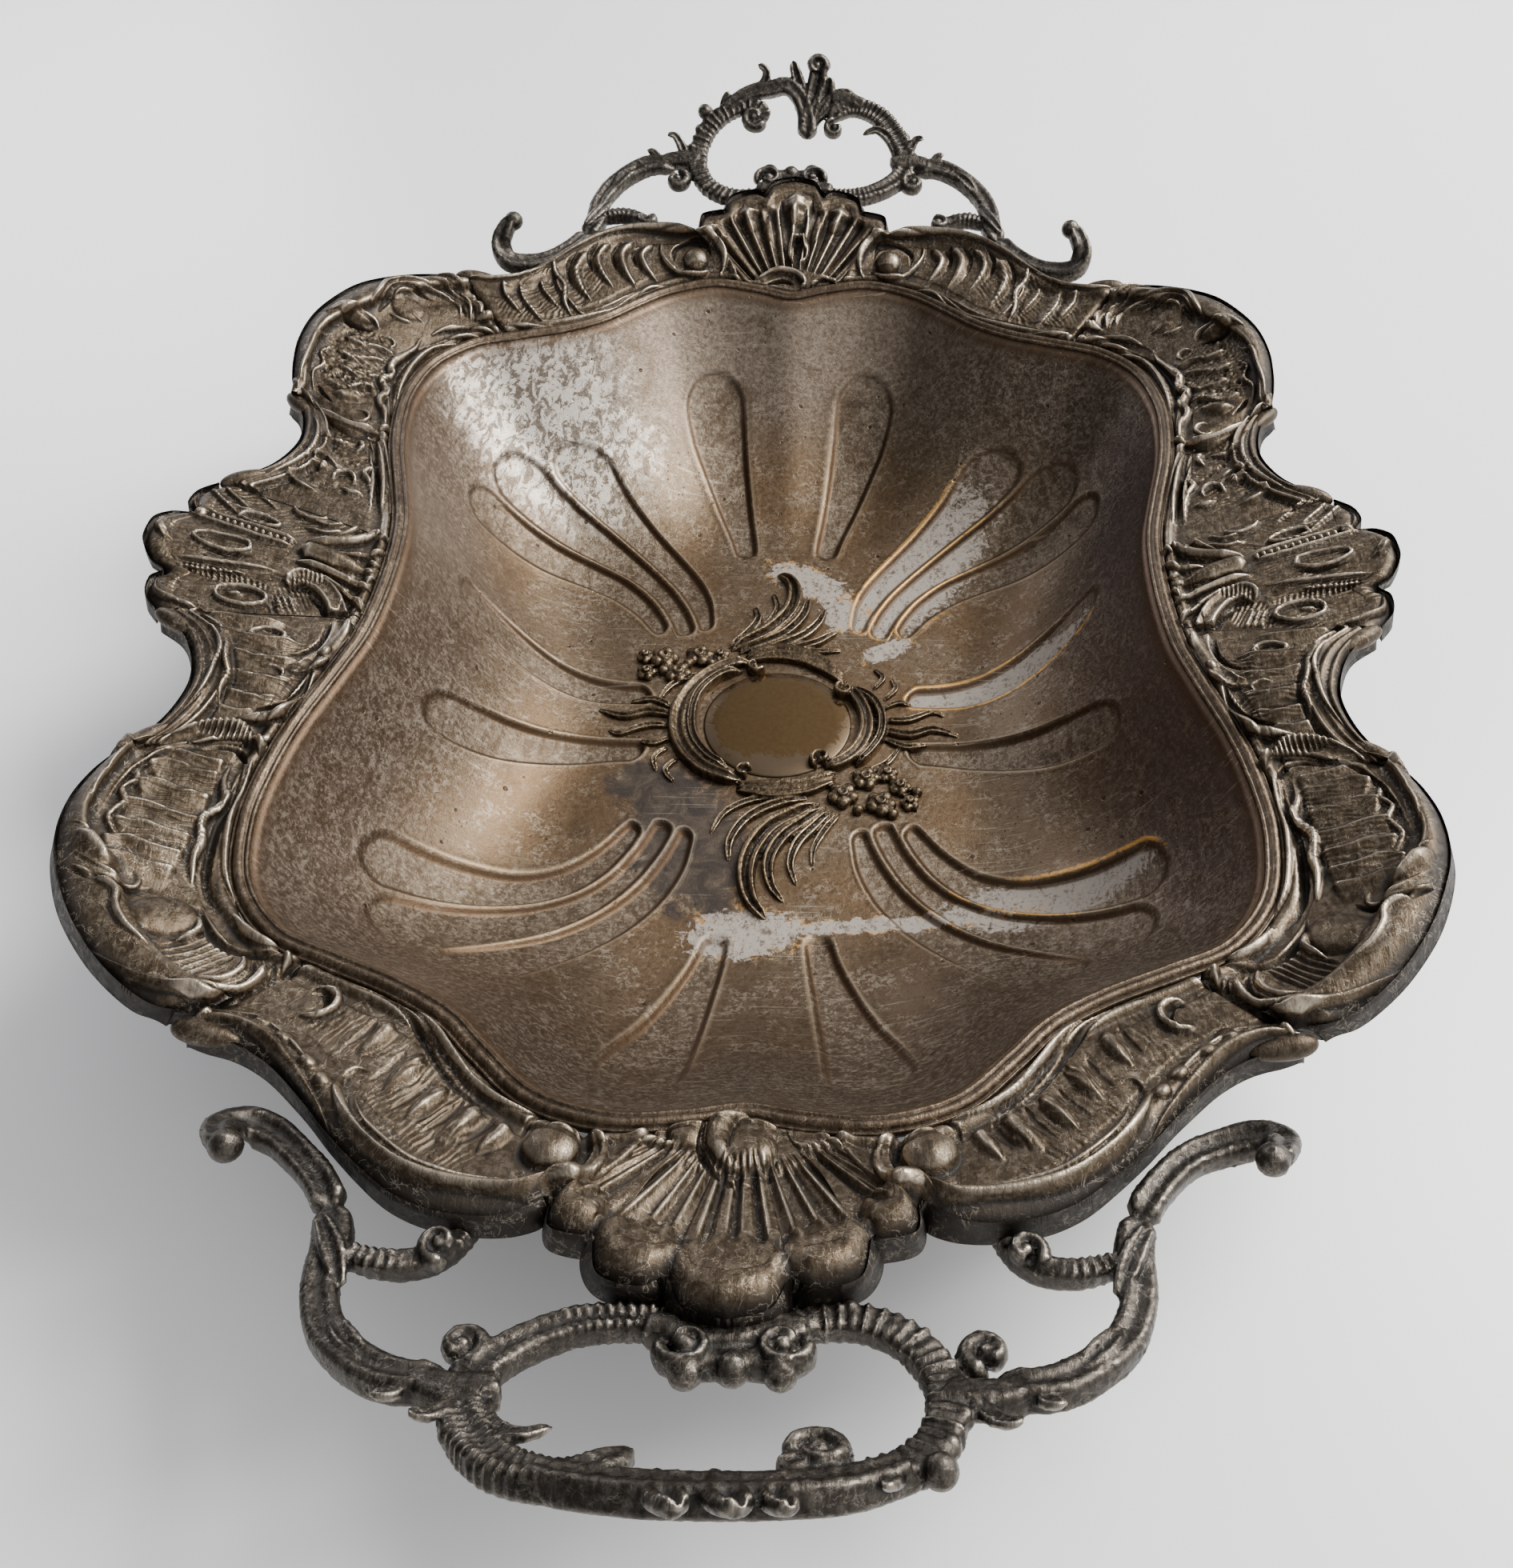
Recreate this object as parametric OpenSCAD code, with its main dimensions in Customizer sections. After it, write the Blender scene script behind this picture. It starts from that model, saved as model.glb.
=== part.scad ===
// Two-handled vanity tray of pressed and plated sheet metal in the rococo taste.
// Origin: centre of the flat underside it stands on. X runs across the tray,
// Y runs from handle to handle, Z is up. Units are millimetres.

/* [Basin] */
// Opening of the basin across the widest part of the lip
basin_width = 188; // [172:2:204]
// Opening of the basin from end lip to end lip
basin_length = 264; // [248:2:280]
// Depth of the floor below the lip
basin_depth = 44; // [36:1:52]
// Thickness of the basin sheet
basin_sheet = 1.6; // [1.4:0.1:2]
// How far the flutes are sunk into the sheet
flute_depth = 1.1; // [0.6:0.1:1.1]

/* [Rim] */
// Width of the smooth moulding that runs round the lip
bead_width = 3.4; // [2.6:0.2:4]
// Height of the lip moulding
bead_height = 2.2; // [1.6:0.2:3]
// Height of the corner lobes above the lip
rim_rise = 14.6; // [10:0.2:18]
// Thickness of the struck rim mounts
rim_sheet = 1.3; // [1:0.1:1.6]
// Depth of the turned-down outer edge
edge_drop = 3.2; // [2:0.2:4]

/* [Cartouche] */
// Radius of the polished plaque in the middle of the floor
plaque_radius = 18; // [15:0.5:20]
// Height of the scrollwork round the plaque
scroll_height = 3; // [2:0.2:4]

/* [Handles] */
// Width of the cast scroll bars
bar_width = 4.6; // [3.6:0.2:5.4]
// Depth of the cast scroll bars, front to back
bar_depth = 4; // [3:0.2:5]

/* [Hidden] */
kx = basin_width / 188;
ky = basin_length / 264;
kz = rim_rise / 14.6;
lip_z = basin_depth + basin_sheet;
flat_part = 0.45;
wall_power = 2.4;
joint_gap = 0.15;
silver = [0.52, 0.47, 0.41];
silver_dark = [0.36, 0.32, 0.28];
silver_light = [0.6, 0.55, 0.48];
plaque_brown = [0.47, 0.38, 0.28];
$fn = 48;

// Lip of the basin in the first quarter: x, y and height against the lip level.
lip_quarter = [
    [84, 0, 0],
    [85, 18, 0],
    [88, 32, 0.5],
    [92, 48, 1],
    [94, 62, 1],
    [94, 74, 1],
    [91, 87, 0.5],
    [83, 97, 0],
    [72, 102, -0.5],
    [60, 107, -1],
    [50, 113, -1],
    [43, 120, -1],
    [34, 128, -1],
    [22, 132, -0.5],
    [10, 131, -1.5],
    [0, 129, -2.5]
];
last = len(lip_quarter) - 1;

// Outer edge of each rim mount: place along the lip quarter, then x, y, height.
side_shell_edge = [
    [0, 135.6, 0, 13.6],
    [0.12, 135.2, 4, 13.2],
    [0.25, 132.5, 8, 11.5],
    [0.35, 129, 10, 9.9],
    [0.5, 130.8, 13, 10.2],
    [0.62, 130.2, 18, 9.8],
    [0.75, 127, 22, 9]
];
side_scroll_edge = [
    [0.8, 126.8, 23, 8.9],
    [1.3, 120.5, 27.5, 8.4],
    [1.75, 116.8, 33, 7.7],
    [2.25, 114.5, 41, 7.3],
    [2.75, 115.3, 49, 7.2],
    [3.1, 117.8, 55.5, 7.3],
    [3.4, 122.4, 61, 7.2]
];
corner_lobe_edge = [
    [3.46, 121.4, 63.8, 9],
    [4, 122.3, 70, 11],
    [4.6, 122.6, 78, 12.8],
    [5.2, 121.2, 87, 14.1],
    [5.8, 118, 95, 14.6],
    [6.4, 113.3, 103.5, 14.2],
    [6.9, 107.5, 110.8, 12.4],
    [7.3, 101, 116.3, 10.4],
    [7.64, 93.6, 120.4, 8.4]
];
end_volute_edge = [
    [7.7, 92.3, 122.8, 7.4],
    [8.1, 83, 124.1, 6.2],
    [8.6, 76, 127.5, 5.4],
    [9.3, 69.3, 133.5, 5.4],
    [10, 62.6, 140.6, 6.6],
    [10.8, 56.3, 146.4, 7.5],
    [11.6, 50, 151, 7.8],
    [12.3, 42.7, 153.5, 7.8],
    [12.9, 34, 153.8, 7.7],
    [13.6, 27.6, 150.4, 7.4]
];
end_shell_edge = [
    [13.66, 27, 151.6, 8],
    [13.9, 26.5, 156.2, 9.4],
    [14.1, 21.5, 157.8, 10],
    [14.2, 20, 157.6, 10.4],
    [14.35, 18.4, 164, 11.4],
    [14.6, 12, 166.2, 12.3],
    [14.75, 8.6, 164.8, 12.2],
    [14.85, 6, 169.6, 13.4],
    [15, 0, 171.4, 13.9]
];

// Cross-section of a rim mount, from the lip outwards and back underneath:
// share of the width, then height above the line from lip to outer edge.
mount_section = [
    [0, 0.4],
    [0.07, 1.6],
    [0.35, 1.2],
    [0.65, 1.6],
    [0.88, 2.4],
    [0.97, 1.4],
    [1, -0.4],
    [1, 0.4 - edge_drop],
    [0.96, 0.4 - edge_drop],
    [0.93, 0.9 - rim_sheet],
    [0.65, 1.6 - rim_sheet],
    [0.35, 1.2 - rim_sheet],
    [0, 0.4 - rim_sheet]
];

// Flutes of one quarter. Angles of the two edges where they end on the wall,
// half way down and beside the cartouche, then where they start on the floor.
flutes = [
    [[8.7, 17.4], [9, 18.5], [10, 21], 0.36],
    [[33.4, 41.4], [41, 47.4], [41.6, 47.4], 0.34],
    [[42, 53], [48.2, 58.2], [48, 54], 0.34],
    [[53.8, 60.8], [59, 65], [54.6, 63], 0.34],
    [[74.6, 84.4], [77, 84.3], [79.4, 84.2], 0.52]
];
flute_top = 0.88;
flute_profile = [[0, 0], [0.14, 1], [0.5, 1], [0.86, 1], [1, 0]];
basin_rows = [0.3, 0.36, 0.4, 0.5, 0.54, 0.6, 0.68, 0.75, 0.81, 0.86, 0.89, 0.92, 0.96, 1];

function mix(a, b, t) = a + (b - a) * t;
function clamp01(t) = min(1, max(0, t));
function ease(t) = let (c = clamp01(t)) c * c * (3 - 2 * c);
function catmull(a, b, c, d, t) =
    0.5 * (2 * b + (c - a) * t + (2 * a - 5 * b + 4 * c - d) * t * t
    + (3 * b - a - 3 * c + d) * t * t * t);
function mirror_x(p) = [-p[0], p[1], p[2]];
function mirror_y(p) = [p[0], -p[1], p[2]];

// Lip points carried past both axes, so the curve crosses them squarely.
function lip_point(i) =
    i < 0 ? mirror_y(lip_quarter[-i]) :
    i > last ? mirror_x(lip_quarter[2 * last - i]) :
    lip_quarter[i];
function lip_raw(u) =
    let (i = min(floor(u), last - 1))
    catmull(lip_point(i - 1), lip_point(i), lip_point(i + 1), lip_point(i + 2), u - i);
function lip_at(u) = let (p = lip_raw(u)) [p[0] * kx, p[1] * ky, p[2] + lip_z];
function unit(v) = v / norm(v);
function lip_normal(u) =
    let (d = lip_at(min(u + 0.05, last)) - lip_at(max(u - 0.05, 0)))
    u <= 0 ? [1, 0, 0] : u >= last ? [0, 1, 0] : unit([d[1], -d[0], 0]);
function lip_offset(u, d) = lip_at(u) + lip_normal(u) * d;

// Polar form of the lip, for rays from the centre of the tray.
lip_steps = 4 * last;
lip_polar = [
    for (i = [0:lip_steps])
    let (p = lip_at(i / 4))
    [atan2(p[1], p[0]), norm([p[0], p[1]]), p[2] - lip_z]
];
lip_radii = [for (p = lip_polar) [p[0], p[1]]];
lip_levels = [for (p = lip_polar) [p[0], p[2]]];
function wall_rise(t) = pow(clamp01((t - flat_part) / (1 - flat_part)), wall_power);

// Columns of the basin surface in one quarter: three angles and flute share.
function flute_columns(f) = [
    for (p = flute_profile)
    [mix(f[0][0], f[0][1], p[0]), mix(f[1][0], f[1][1], p[0]),
     mix(f[2][0], f[2][1], p[0]), p[1], f[3]]
];
function land_column(a, b, c) = [a, b, c, 0, 0.4];
quarter_columns = concat(
    [land_column(0, 0, 0)],
    flute_columns(flutes[0]),
    [land_column(22.5, 25, 28), land_column(28, 33, 35)],
    flute_columns(flutes[1]),
    flute_columns(flutes[2]),
    flute_columns(flutes[3]),
    [land_column(65.5, 69, 68), land_column(70, 73, 74)],
    flute_columns(flutes[4]),
    [land_column(90, 90, 90)]
);
quarter_count = len(quarter_columns) - 1;
column_count = 4 * quarter_count;

function column_angle(c, t) =
    let (h = clamp01((t - 0.3) / 0.3), g = clamp01((t - 0.6) / 0.28))
    t < 0.6 ? mix(c[2], c[1], h) : mix(c[1], c[0], g);
function flute_share(c, t) = c[3] * ease((t - c[4]) / 0.04) * ease((flute_top + 0.02 - t) / 0.04);

// One point of the basin skin in the first quarter, on the face or underneath.
function basin_point(c, t, under) =
    let (
        a = column_angle(c, t),
        reach = lookup(a, lip_radii),
        rise = wall_rise(t),
        z = basin_sheet + (basin_depth + lookup(a, lip_levels)) * rise,
        slope = basin_depth * (wall_rise(t) - wall_rise(t - 0.02)) / (0.02 * reach),
        tilt = atan(slope),
        sink = flute_depth * flute_share(c, t),
        deep = under ? basin_sheet + sink * ease(rise * basin_depth / 5 - 0.4) : sink,
        r = reach * t + deep * sin(tilt)
    )
    [r * cos(a), r * sin(a), max(z - deep * cos(tilt), 0)];
function turn_quarter(p, q) =
    q == 0 ? p : q == 1 ? mirror_x(p) : q == 2 ? [-p[0], -p[1], p[2]] : mirror_y(p);
function basin_row(t, under) = [
    for (q = [0:3], i = [0:quarter_count - 1])
    let (c = q % 2 == 0 ? quarter_columns[i] : quarter_columns[quarter_count - i])
    turn_quarter(basin_point(c, t, under), q)
];

// Triangles that join successive rings of n points. Rings run anticlockwise
// when seen from the side that the rings advance from.
function band_faces(rings, n, wrap) = [
    for (r = [0:rings - (wrap ? 1 : 2)], i = [0:n - 1])
    let (s = (r + 1) % rings, j = (i + 1) % n)
    each [[r * n + i, s * n + i, s * n + j], [r * n + i, s * n + j, r * n + j]]
];
function cap_faces(first, n, flip) = [
    for (i = [1:n - 2])
    flip ? [first, first + i + 1, first + i] : [first, first + i, first + i + 1]
];

module basin() {
    rows = len(basin_rows);
    top = [for (t = basin_rows) basin_row(t, false)];
    under = [for (k = [rows - 1:-1:0]) basin_row(basin_rows[k], true)];
    points = concat([for (r = top) each r], [for (r = under) each r]);
    color(silver)
    polyhedron(points, concat(
        cap_faces(0, column_count, true),
        [for (f = band_faces(2 * rows, column_count, false)) [f[0], f[2], f[1]]],
        cap_faces((2 * rows - 1) * column_count, column_count, false)
    ), convexity = 6);
}

// Smooth half-round moulding that covers the joint between basin and mounts.
module lip_bead() {
    section = [for (k = [0:6]) [
        bead_width / 2 - bead_width / 2 * cos(30 * k),
        0.6 + bead_height * sin(30 * k)
    ]];
    quarter = [for (i = [0:2 * last - 1]) i / 2];
    stations = [for (q = [0:3], i = [0:len(quarter) - 1])
        [q % 2 == 0 ? quarter[i] : last - quarter[i], q]
    ];
    n = len(section);
    points = [
        for (s = stations, p = section)
        turn_quarter(lip_offset(s[0], p[0] + joint_gap) + [0, 0, p[1]], s[1])
    ];
    color(silver_light)
    polyhedron(points, band_faces(len(stations), n, true), convexity = 6);
}

// A struck mount between the lip moulding and its own outer edge.
function edge_point(e, k) = let (j = min(max(k, 0), len(e) - 1)) e[j];
function edge_curve(e, steps) = [
    for (i = [0:len(e) - 2], k = [0:steps - 1])
    catmull(edge_point(e, i - 1), e[i], e[i + 1], edge_point(e, i + 2), k / steps),
    e[len(e) - 1]
];
function mount_ring(s) =
    let (
        inner = lip_offset(abs(s[0]), bead_width + 2 * joint_gap),
        start = [inner[0], s[0] < 0 ? -inner[1] : inner[1], inner[2]],
        edge = [s[1] * kx, s[2] * ky, s[3] * kz + lip_z]
    )
    [for (p = mount_section) mix(start, edge, p[0]) + [0, 0, p[1]]];
module mount(stations, tint) {
    n = len(mount_section);
    rings = [for (s = stations) mount_ring(s)];
    color(tint)
    polyhedron([for (r = rings) each r], concat(
        cap_faces(0, n, false),
        band_faces(len(rings), n, false),
        cap_faces((len(rings) - 1) * n, n, true)
    ), convexity = 6);
}
module quarter_of(x, y) {
    mirror([x < 0 ? 1 : 0, 0, 0])
    mirror([0, y < 0 ? 1 : 0, 0])
    children();
}
module side_shell(x) {
    upper = edge_curve(side_shell_edge, 2);
    lower = [for (k = [len(upper) - 1:-1:1]) let (s = upper[k]) [-s[0], s[1], -s[2], s[3]]];
    quarter_of(x, 1)
    mount(concat(lower, upper), silver);
}
module side_scroll(x, y) {
    quarter_of(x, y)
    mount(edge_curve(side_scroll_edge, 2), silver_dark);
}
module corner_lobe(x, y) {
    quarter_of(x, y)
    mount(edge_curve(corner_lobe_edge, 2), silver);
}
module end_volute(x, y) {
    quarter_of(x, y)
    mount(edge_curve(end_volute_edge, 2), silver);
}
module half_end_shell() {
    mount(edge_curve(end_shell_edge, 2), silver);
}
module end_shell(y) {
    quarter_of(1, y) {
        half_end_shell();
        mirror([1, 0, 0])
        half_end_shell();
    }
}

// Handles are drawn on a sheet that runs level from the rim and then curls up:
// x across, s along the sheet, h out of its face.
curl_start = 28;
curl_level = 8;
curl_rate = 0.95;
curl_scale = 180 / PI / curl_rate;
function curl_angle(s) = curl_level + max(0, s - curl_start) * curl_rate;
function sheet_point(x, s, h) =
    let (
        a = curl_angle(s),
        flat = min(s, curl_start),
        y = 132 + flat * cos(curl_level) + curl_scale * (sin(a) - sin(curl_level)),
        z = 2.2 + flat * sin(curl_level) + curl_scale * (cos(curl_level) - cos(a))
    )
    [x * kx, y + 132 * (ky - 1) - h * sin(a), z + lip_z + h * cos(a)];
bar_section = [[1, 0], [0.7, 0.75], [-0.7, 0.75], [-1, 0], [-0.7, -1], [0.7, -1]];

// A cast bar along points of x, s, height and share of the full bar size.
module bar(route, steps = 1) {
    path = edge_curve(route, steps);
    n = len(bar_section);
    count = len(path);
    rings = [
        for (i = [0:count - 1])
        let (
            a = path[max(i - 1, 0)],
            b = path[min(i + 1, count - 1)],
            d = unit([b[0] - a[0], b[1] - a[1]]),
            p = path[i]
        )
        [for (q = bar_section) sheet_point(
            p[0] + q[0] * bar_width / 2 * p[3] * d[1],
            p[1] - q[0] * bar_width / 2 * p[3] * d[0],
            p[2] + q[1] * bar_depth / 2 * min(1, p[3] + 0.2)
        )]
    ];
    polyhedron([for (r = rings) each r], concat(
        cap_faces(0, n, true),
        [for (f = band_faces(count, n, false)) [f[0], f[2], f[1]]],
        cap_faces((count - 1) * n, n, false)
    ), convexity = 4);
}
module knob(x, s, h, r) {
    translate(sheet_point(x, s, h))
    sphere(r, $fn = 8);
}
module side_loop(side) {
    bar([[80 * side, 12, 6, 0.45], [82 * side, 7, 3, 0.8], [78 * side, 5.5, 0, 1],
        [70 * side, 8, -1, 0.9], [62 * side, 14, -1, 0.9], [58 * side, 22, -1, 1],
        [57.5 * side, 32, 0, 0.9], [54 * side, 40, 0, 1], [47 * side, 47, 0, 1.1],
        [40 * side, 49, 0, 1], [35 * side, 46, 0, 0.7]], 2);
    knob(34.5 * side, 43, 0, 3.2);
    bar([[56 * side, 28, 0, 0.6], [50 * side, 28.5, 0, 0.8], [45 * side, 27.5, -1, 0.9],
        [41 * side, 24.5, -2, 0.8], [39 * side, 19.5, -3, 0.7]]);
    knob(42 * side, 26.5, 0, 2.6);
    bar([[40 * side, 49, 0, 0.5], [36 * side, 51, 0, 0.8], [30 * side, 50, 0, 0.9]]);
    bar([[32 * side, 51, 0, 0.7], [34.5 * side, 55, 1, 0.5], [36 * side, 58.5, 2, 0.4]]);
}
module handle() {
    color(silver_dark) {
        side_loop(-1);
        side_loop(1);
        bar([[-5, 40, 0, 0.9], [-14, 38, 0, 0.9], [-23, 40, 0, 1], [-28, 45, 0, 1.1],
            [-29.5, 52, 0, 1.1], [-27.5, 60, 0, 1.1], [-21, 66.5, 0, 1], [-13.5, 68, 0, 0.9],
            [-10, 65, 1, 0.8], [-12, 62, 1, 0.8]], 2);
        knob(-13.5, 65, 0.5, 2.4);
        bar([[5, 40, 0, 0.9], [14, 38.5, 0, 0.9], [23, 41, 0, 1], [29, 45.5, 0, 1.1],
            [32, 52, 0, 1.1], [29.5, 60, 0, 1.1], [23, 66.5, 0, 1.1], [16, 68, 0, 1],
            [11, 65, 1, 0.8], [10, 62, 1, 0.7]], 2);
        bar([[30, 54, 0, 0.6], [26, 59.5, 1, 0.7], [21, 61, 2, 0.4]]);
        bar([[-24, 65.5, 0, 0.6], [-17, 71, 0, 0.8], [-10, 73, 0, 0.8], [-3, 74.5, 0, 0.9],
            [2, 70, 0, 1], [4, 62, 0, 1.1]]);
        bar([[-12, 72, 0, 0.7], [-10, 76, 1, 0.6], [-11.5, 79.5, 2, 0.4]]);
        bar([[3.5, 68, 0, 1.1], [1, 75, 0, 0.9], [-1, 81, 1, 0.6]]);
        bar([[3.5, 68, 0, 1.1], [5, 76, 0, 1.2], [6, 81, 1, 1.1]]);
        bar([[3.5, 68, 0, 1], [9, 73, 0, 1.2], [17, 71.5, 0, 0.7], [20, 69, 0, 0.6]]);
        knob(6, 81, 1, 3);
        bar([[-8, 41, 0, 0.8], [0, 43, 0, 1.1], [8, 41, 0, 0.8]]);
        knob(-8, 43.5, 0, 3.4);
        knob(5.5, 43.5, 0, 3.4);
    }
}
module handle_far() {
    handle();
}
module handle_near() {
    rotate(180)
    handle();
}

// Polished plaque and the scrollwork that frames it, standing on the floor.
module plaque() {
    color(plaque_brown)
    translate([0, 0, basin_sheet])
    rotate_extrude($fn = 96)
    polygon([[0, 0], [plaque_radius, 0], [plaque_radius - 0.4, 0.5], [0, 1.1]]);
}
floor_section = [[1, 0], [0.8, 0.6], [0, 1], [-0.8, 0.6], [-1, 0]];
module floor_scroll(route, steps = 2) {
    path = edge_curve(route, steps);
    n = len(floor_section);
    count = len(path);
    rings = [
        for (i = [0:count - 1])
        let (
            a = path[max(i - 1, 0)],
            b = path[min(i + 1, count - 1)],
            d = unit([b[0] - a[0], b[1] - a[1]]),
            p = path[i]
        )
        [for (q = floor_section) [
            p[0] + q[0] * p[2] * d[1],
            p[1] - q[0] * p[2] * d[0],
            basin_sheet + q[1] * scroll_height * p[3]
        ]]
    ];
    polyhedron([for (r = rings) each r], concat(
        cap_faces(0, n, true),
        [for (f = band_faces(count, n, false)) [f[0], f[2], f[1]]],
        cap_faces((count - 1) * n, n, false)
    ), convexity = 4);
}
function arc_route(r, a, b, w, h, n) = [
    for (i = [0:n])
    let (t = mix(a, b, i / n))
    [r * cos(t), r * sin(t), w, h]
];
module blossom(x, y) {
    for (k = [0:4])
    translate([x + 3 * cos(72 * k), y + 3 * sin(72 * k), basin_sheet])
    cylinder(h = scroll_height * 0.6, r1 = 2.2, r2 = 1.4, $fn = 6);
    translate([x, y, basin_sheet])
    cylinder(h = scroll_height * 0.9, r1 = 2, r2 = 1, $fn = 6);
}
module half_cartouche() {
    floor_scroll(arc_route(plaque_radius + 5.6, 87, 273, 2.4, 0.9, 8));
    floor_scroll(arc_route(plaque_radius + 2.6, 120, 250, 1.6, 1, 6));
    floor_scroll([[-14, 19.5, 1.4, 0.7], [-8, 26, 2.6, 1], [-1, 33, 4, 1], [2, 42, 4.4, 1],
        [3, 50, 3.4, 0.8], [0, 56, 1.2, 0.4]]);
    floor_scroll([[4, 24, 1.4, 0.7], [9, 31, 2.4, 0.8], [10, 40, 1, 0.4]]);
    floor_scroll([[-24, 2, 2.4, 0.7], [-33, 1, 2, 0.6], [-42, -2, 0.6, 0.3]]);
    blossom(-17.5, 23);
    blossom(-23, 19.5);
    blossom(-28.5, 17);
}
module cartouche() {
    color(silver_light)
    difference() {
        union() {
            half_cartouche();
            rotate(180)
            half_cartouche();
        }
        translate([0, 0, basin_sheet - 1])
        cylinder(h = scroll_height + 4, r = plaque_radius + joint_gap, $fn = 48);
    }
}

basin();
lip_bead();
plaque();
cartouche();
side_shell(-1);  // side_shell_left
side_shell(1);  // side_shell_right
end_shell(-1);  // end_shell_near
end_shell(1);  // end_shell_far
side_scroll(-1, -1);  // side_scroll_left_near
side_scroll(-1, 1);  // side_scroll_left_far
side_scroll(1, -1);  // side_scroll_right_near
side_scroll(1, 1);  // side_scroll_right_far
corner_lobe(-1, -1);  // corner_lobe_left_near
corner_lobe(-1, 1);  // corner_lobe_left_far
corner_lobe(1, -1);  // corner_lobe_right_near
corner_lobe(1, 1);  // corner_lobe_right_far
end_volute(-1, -1);  // end_volute_left_near
end_volute(-1, 1);  // end_volute_left_far
end_volute(1, -1);  // end_volute_right_near
end_volute(1, 1);  // end_volute_right_far
handle_near();
handle_far();
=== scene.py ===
"""Two-handled vanity tray of struck and cast silver plate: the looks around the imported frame.

Lengths are millimetres in the frame's axes (X across, Y from handle to handle, Z up) and become
metres where a mesh is made. Ornament is drawn stroke by stroke on each struck or cast piece.
"""
import math

import bpy
import numpy as np
from mathutils import Matrix


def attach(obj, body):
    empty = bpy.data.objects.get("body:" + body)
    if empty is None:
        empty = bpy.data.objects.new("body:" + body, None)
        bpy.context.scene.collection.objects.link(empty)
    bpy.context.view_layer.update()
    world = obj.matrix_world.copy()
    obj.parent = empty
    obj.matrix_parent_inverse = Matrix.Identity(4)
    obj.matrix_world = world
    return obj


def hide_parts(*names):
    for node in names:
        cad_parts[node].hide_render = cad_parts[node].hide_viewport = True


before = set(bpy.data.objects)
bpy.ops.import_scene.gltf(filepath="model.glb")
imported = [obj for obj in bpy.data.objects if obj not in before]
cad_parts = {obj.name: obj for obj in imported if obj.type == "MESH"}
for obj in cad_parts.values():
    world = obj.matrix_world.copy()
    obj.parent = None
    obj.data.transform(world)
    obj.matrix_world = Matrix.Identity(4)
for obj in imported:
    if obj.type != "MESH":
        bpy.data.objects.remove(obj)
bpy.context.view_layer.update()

MM = 0.001
BASIN_DEPTH = 44.0
SHEET = 1.6
LIP_Z = BASIN_DEPTH + SHEET
FLAT_PART = 0.45
WALL_POWER = 2.4
BEAD_WIDTH = 3.4
JOINT_GAP = 0.15
PLAQUE_RADIUS = 18.0

# Lip of the basin in the first quarter: x, y and height against the lip level.
LIP_QUARTER = [(84, 0, 0), (85, 18, 0), (88, 32, 0.5), (92, 48, 1), (94, 62, 1), (94, 74, 1), (91, 87, 0.5),
               (83, 97, 0), (72, 102, -0.5), (60, 107, -1), (50, 113, -1), (43, 120, -1), (34, 128, -1),
               (22, 132, -0.5), (10, 131, -1.5), (0, 129, -2.5)]
LAST = len(LIP_QUARTER) - 1

# Outer edge of each struck mount in the first quarter: place along the lip, x, y, height above the lip.
OUTER_EDGE = {
    "side_shell": [
        (0, 135.6, 0, 13.6), (0.12, 135.2, 4, 13.2), (0.25, 132.5, 8, 11.5), (0.35, 129, 10, 9.9),
        (0.5, 130.8, 13, 10.2), (0.62, 130.2, 18, 9.8), (0.75, 127, 22, 9)],
    "side_scroll": [
        (0.8, 126.8, 23, 8.9), (1.3, 120.5, 27.5, 8.4), (1.75, 116.8, 33, 7.7), (2.25, 114.5, 41, 7.3),
        (2.75, 115.3, 49, 7.2), (3.1, 117.8, 55.5, 7.3), (3.4, 122.4, 61, 7.2)],
    "corner_lobe": [
        (3.46, 121.4, 63.8, 9), (4, 122.3, 70, 11), (4.6, 122.6, 78, 12.8), (5.2, 121.2, 87, 14.1),
        (5.8, 118, 95, 14.6), (6.4, 113.3, 103.5, 14.2), (6.9, 107.5, 110.8, 12.4), (7.3, 101, 116.3, 10.4),
        (7.64, 93.6, 120.4, 8.4)],
    "end_volute": [
        (7.7, 92.3, 122.8, 7.4), (8.1, 83, 124.1, 6.2), (8.6, 76, 127.5, 5.4), (9.3, 69.3, 133.5, 5.4),
        (10, 62.6, 140.6, 6.6), (10.8, 56.3, 146.4, 7.5), (11.6, 50, 151, 7.8), (12.3, 42.7, 153.5, 7.8),
        (12.9, 34, 153.8, 7.7), (13.6, 27.6, 150.4, 7.4)],
    "end_shell": [
        (13.66, 27, 151.6, 8), (13.9, 26.5, 156.2, 9.4), (14.1, 21.5, 157.8, 10), (14.2, 20, 157.6, 10.4),
        (14.35, 18.4, 164, 11.4), (14.6, 12, 166.2, 12.3), (14.75, 8.6, 164.8, 12.2), (14.85, 6, 169.6, 13.4),
        (15, 0, 171.4, 13.9)],
}

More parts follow.
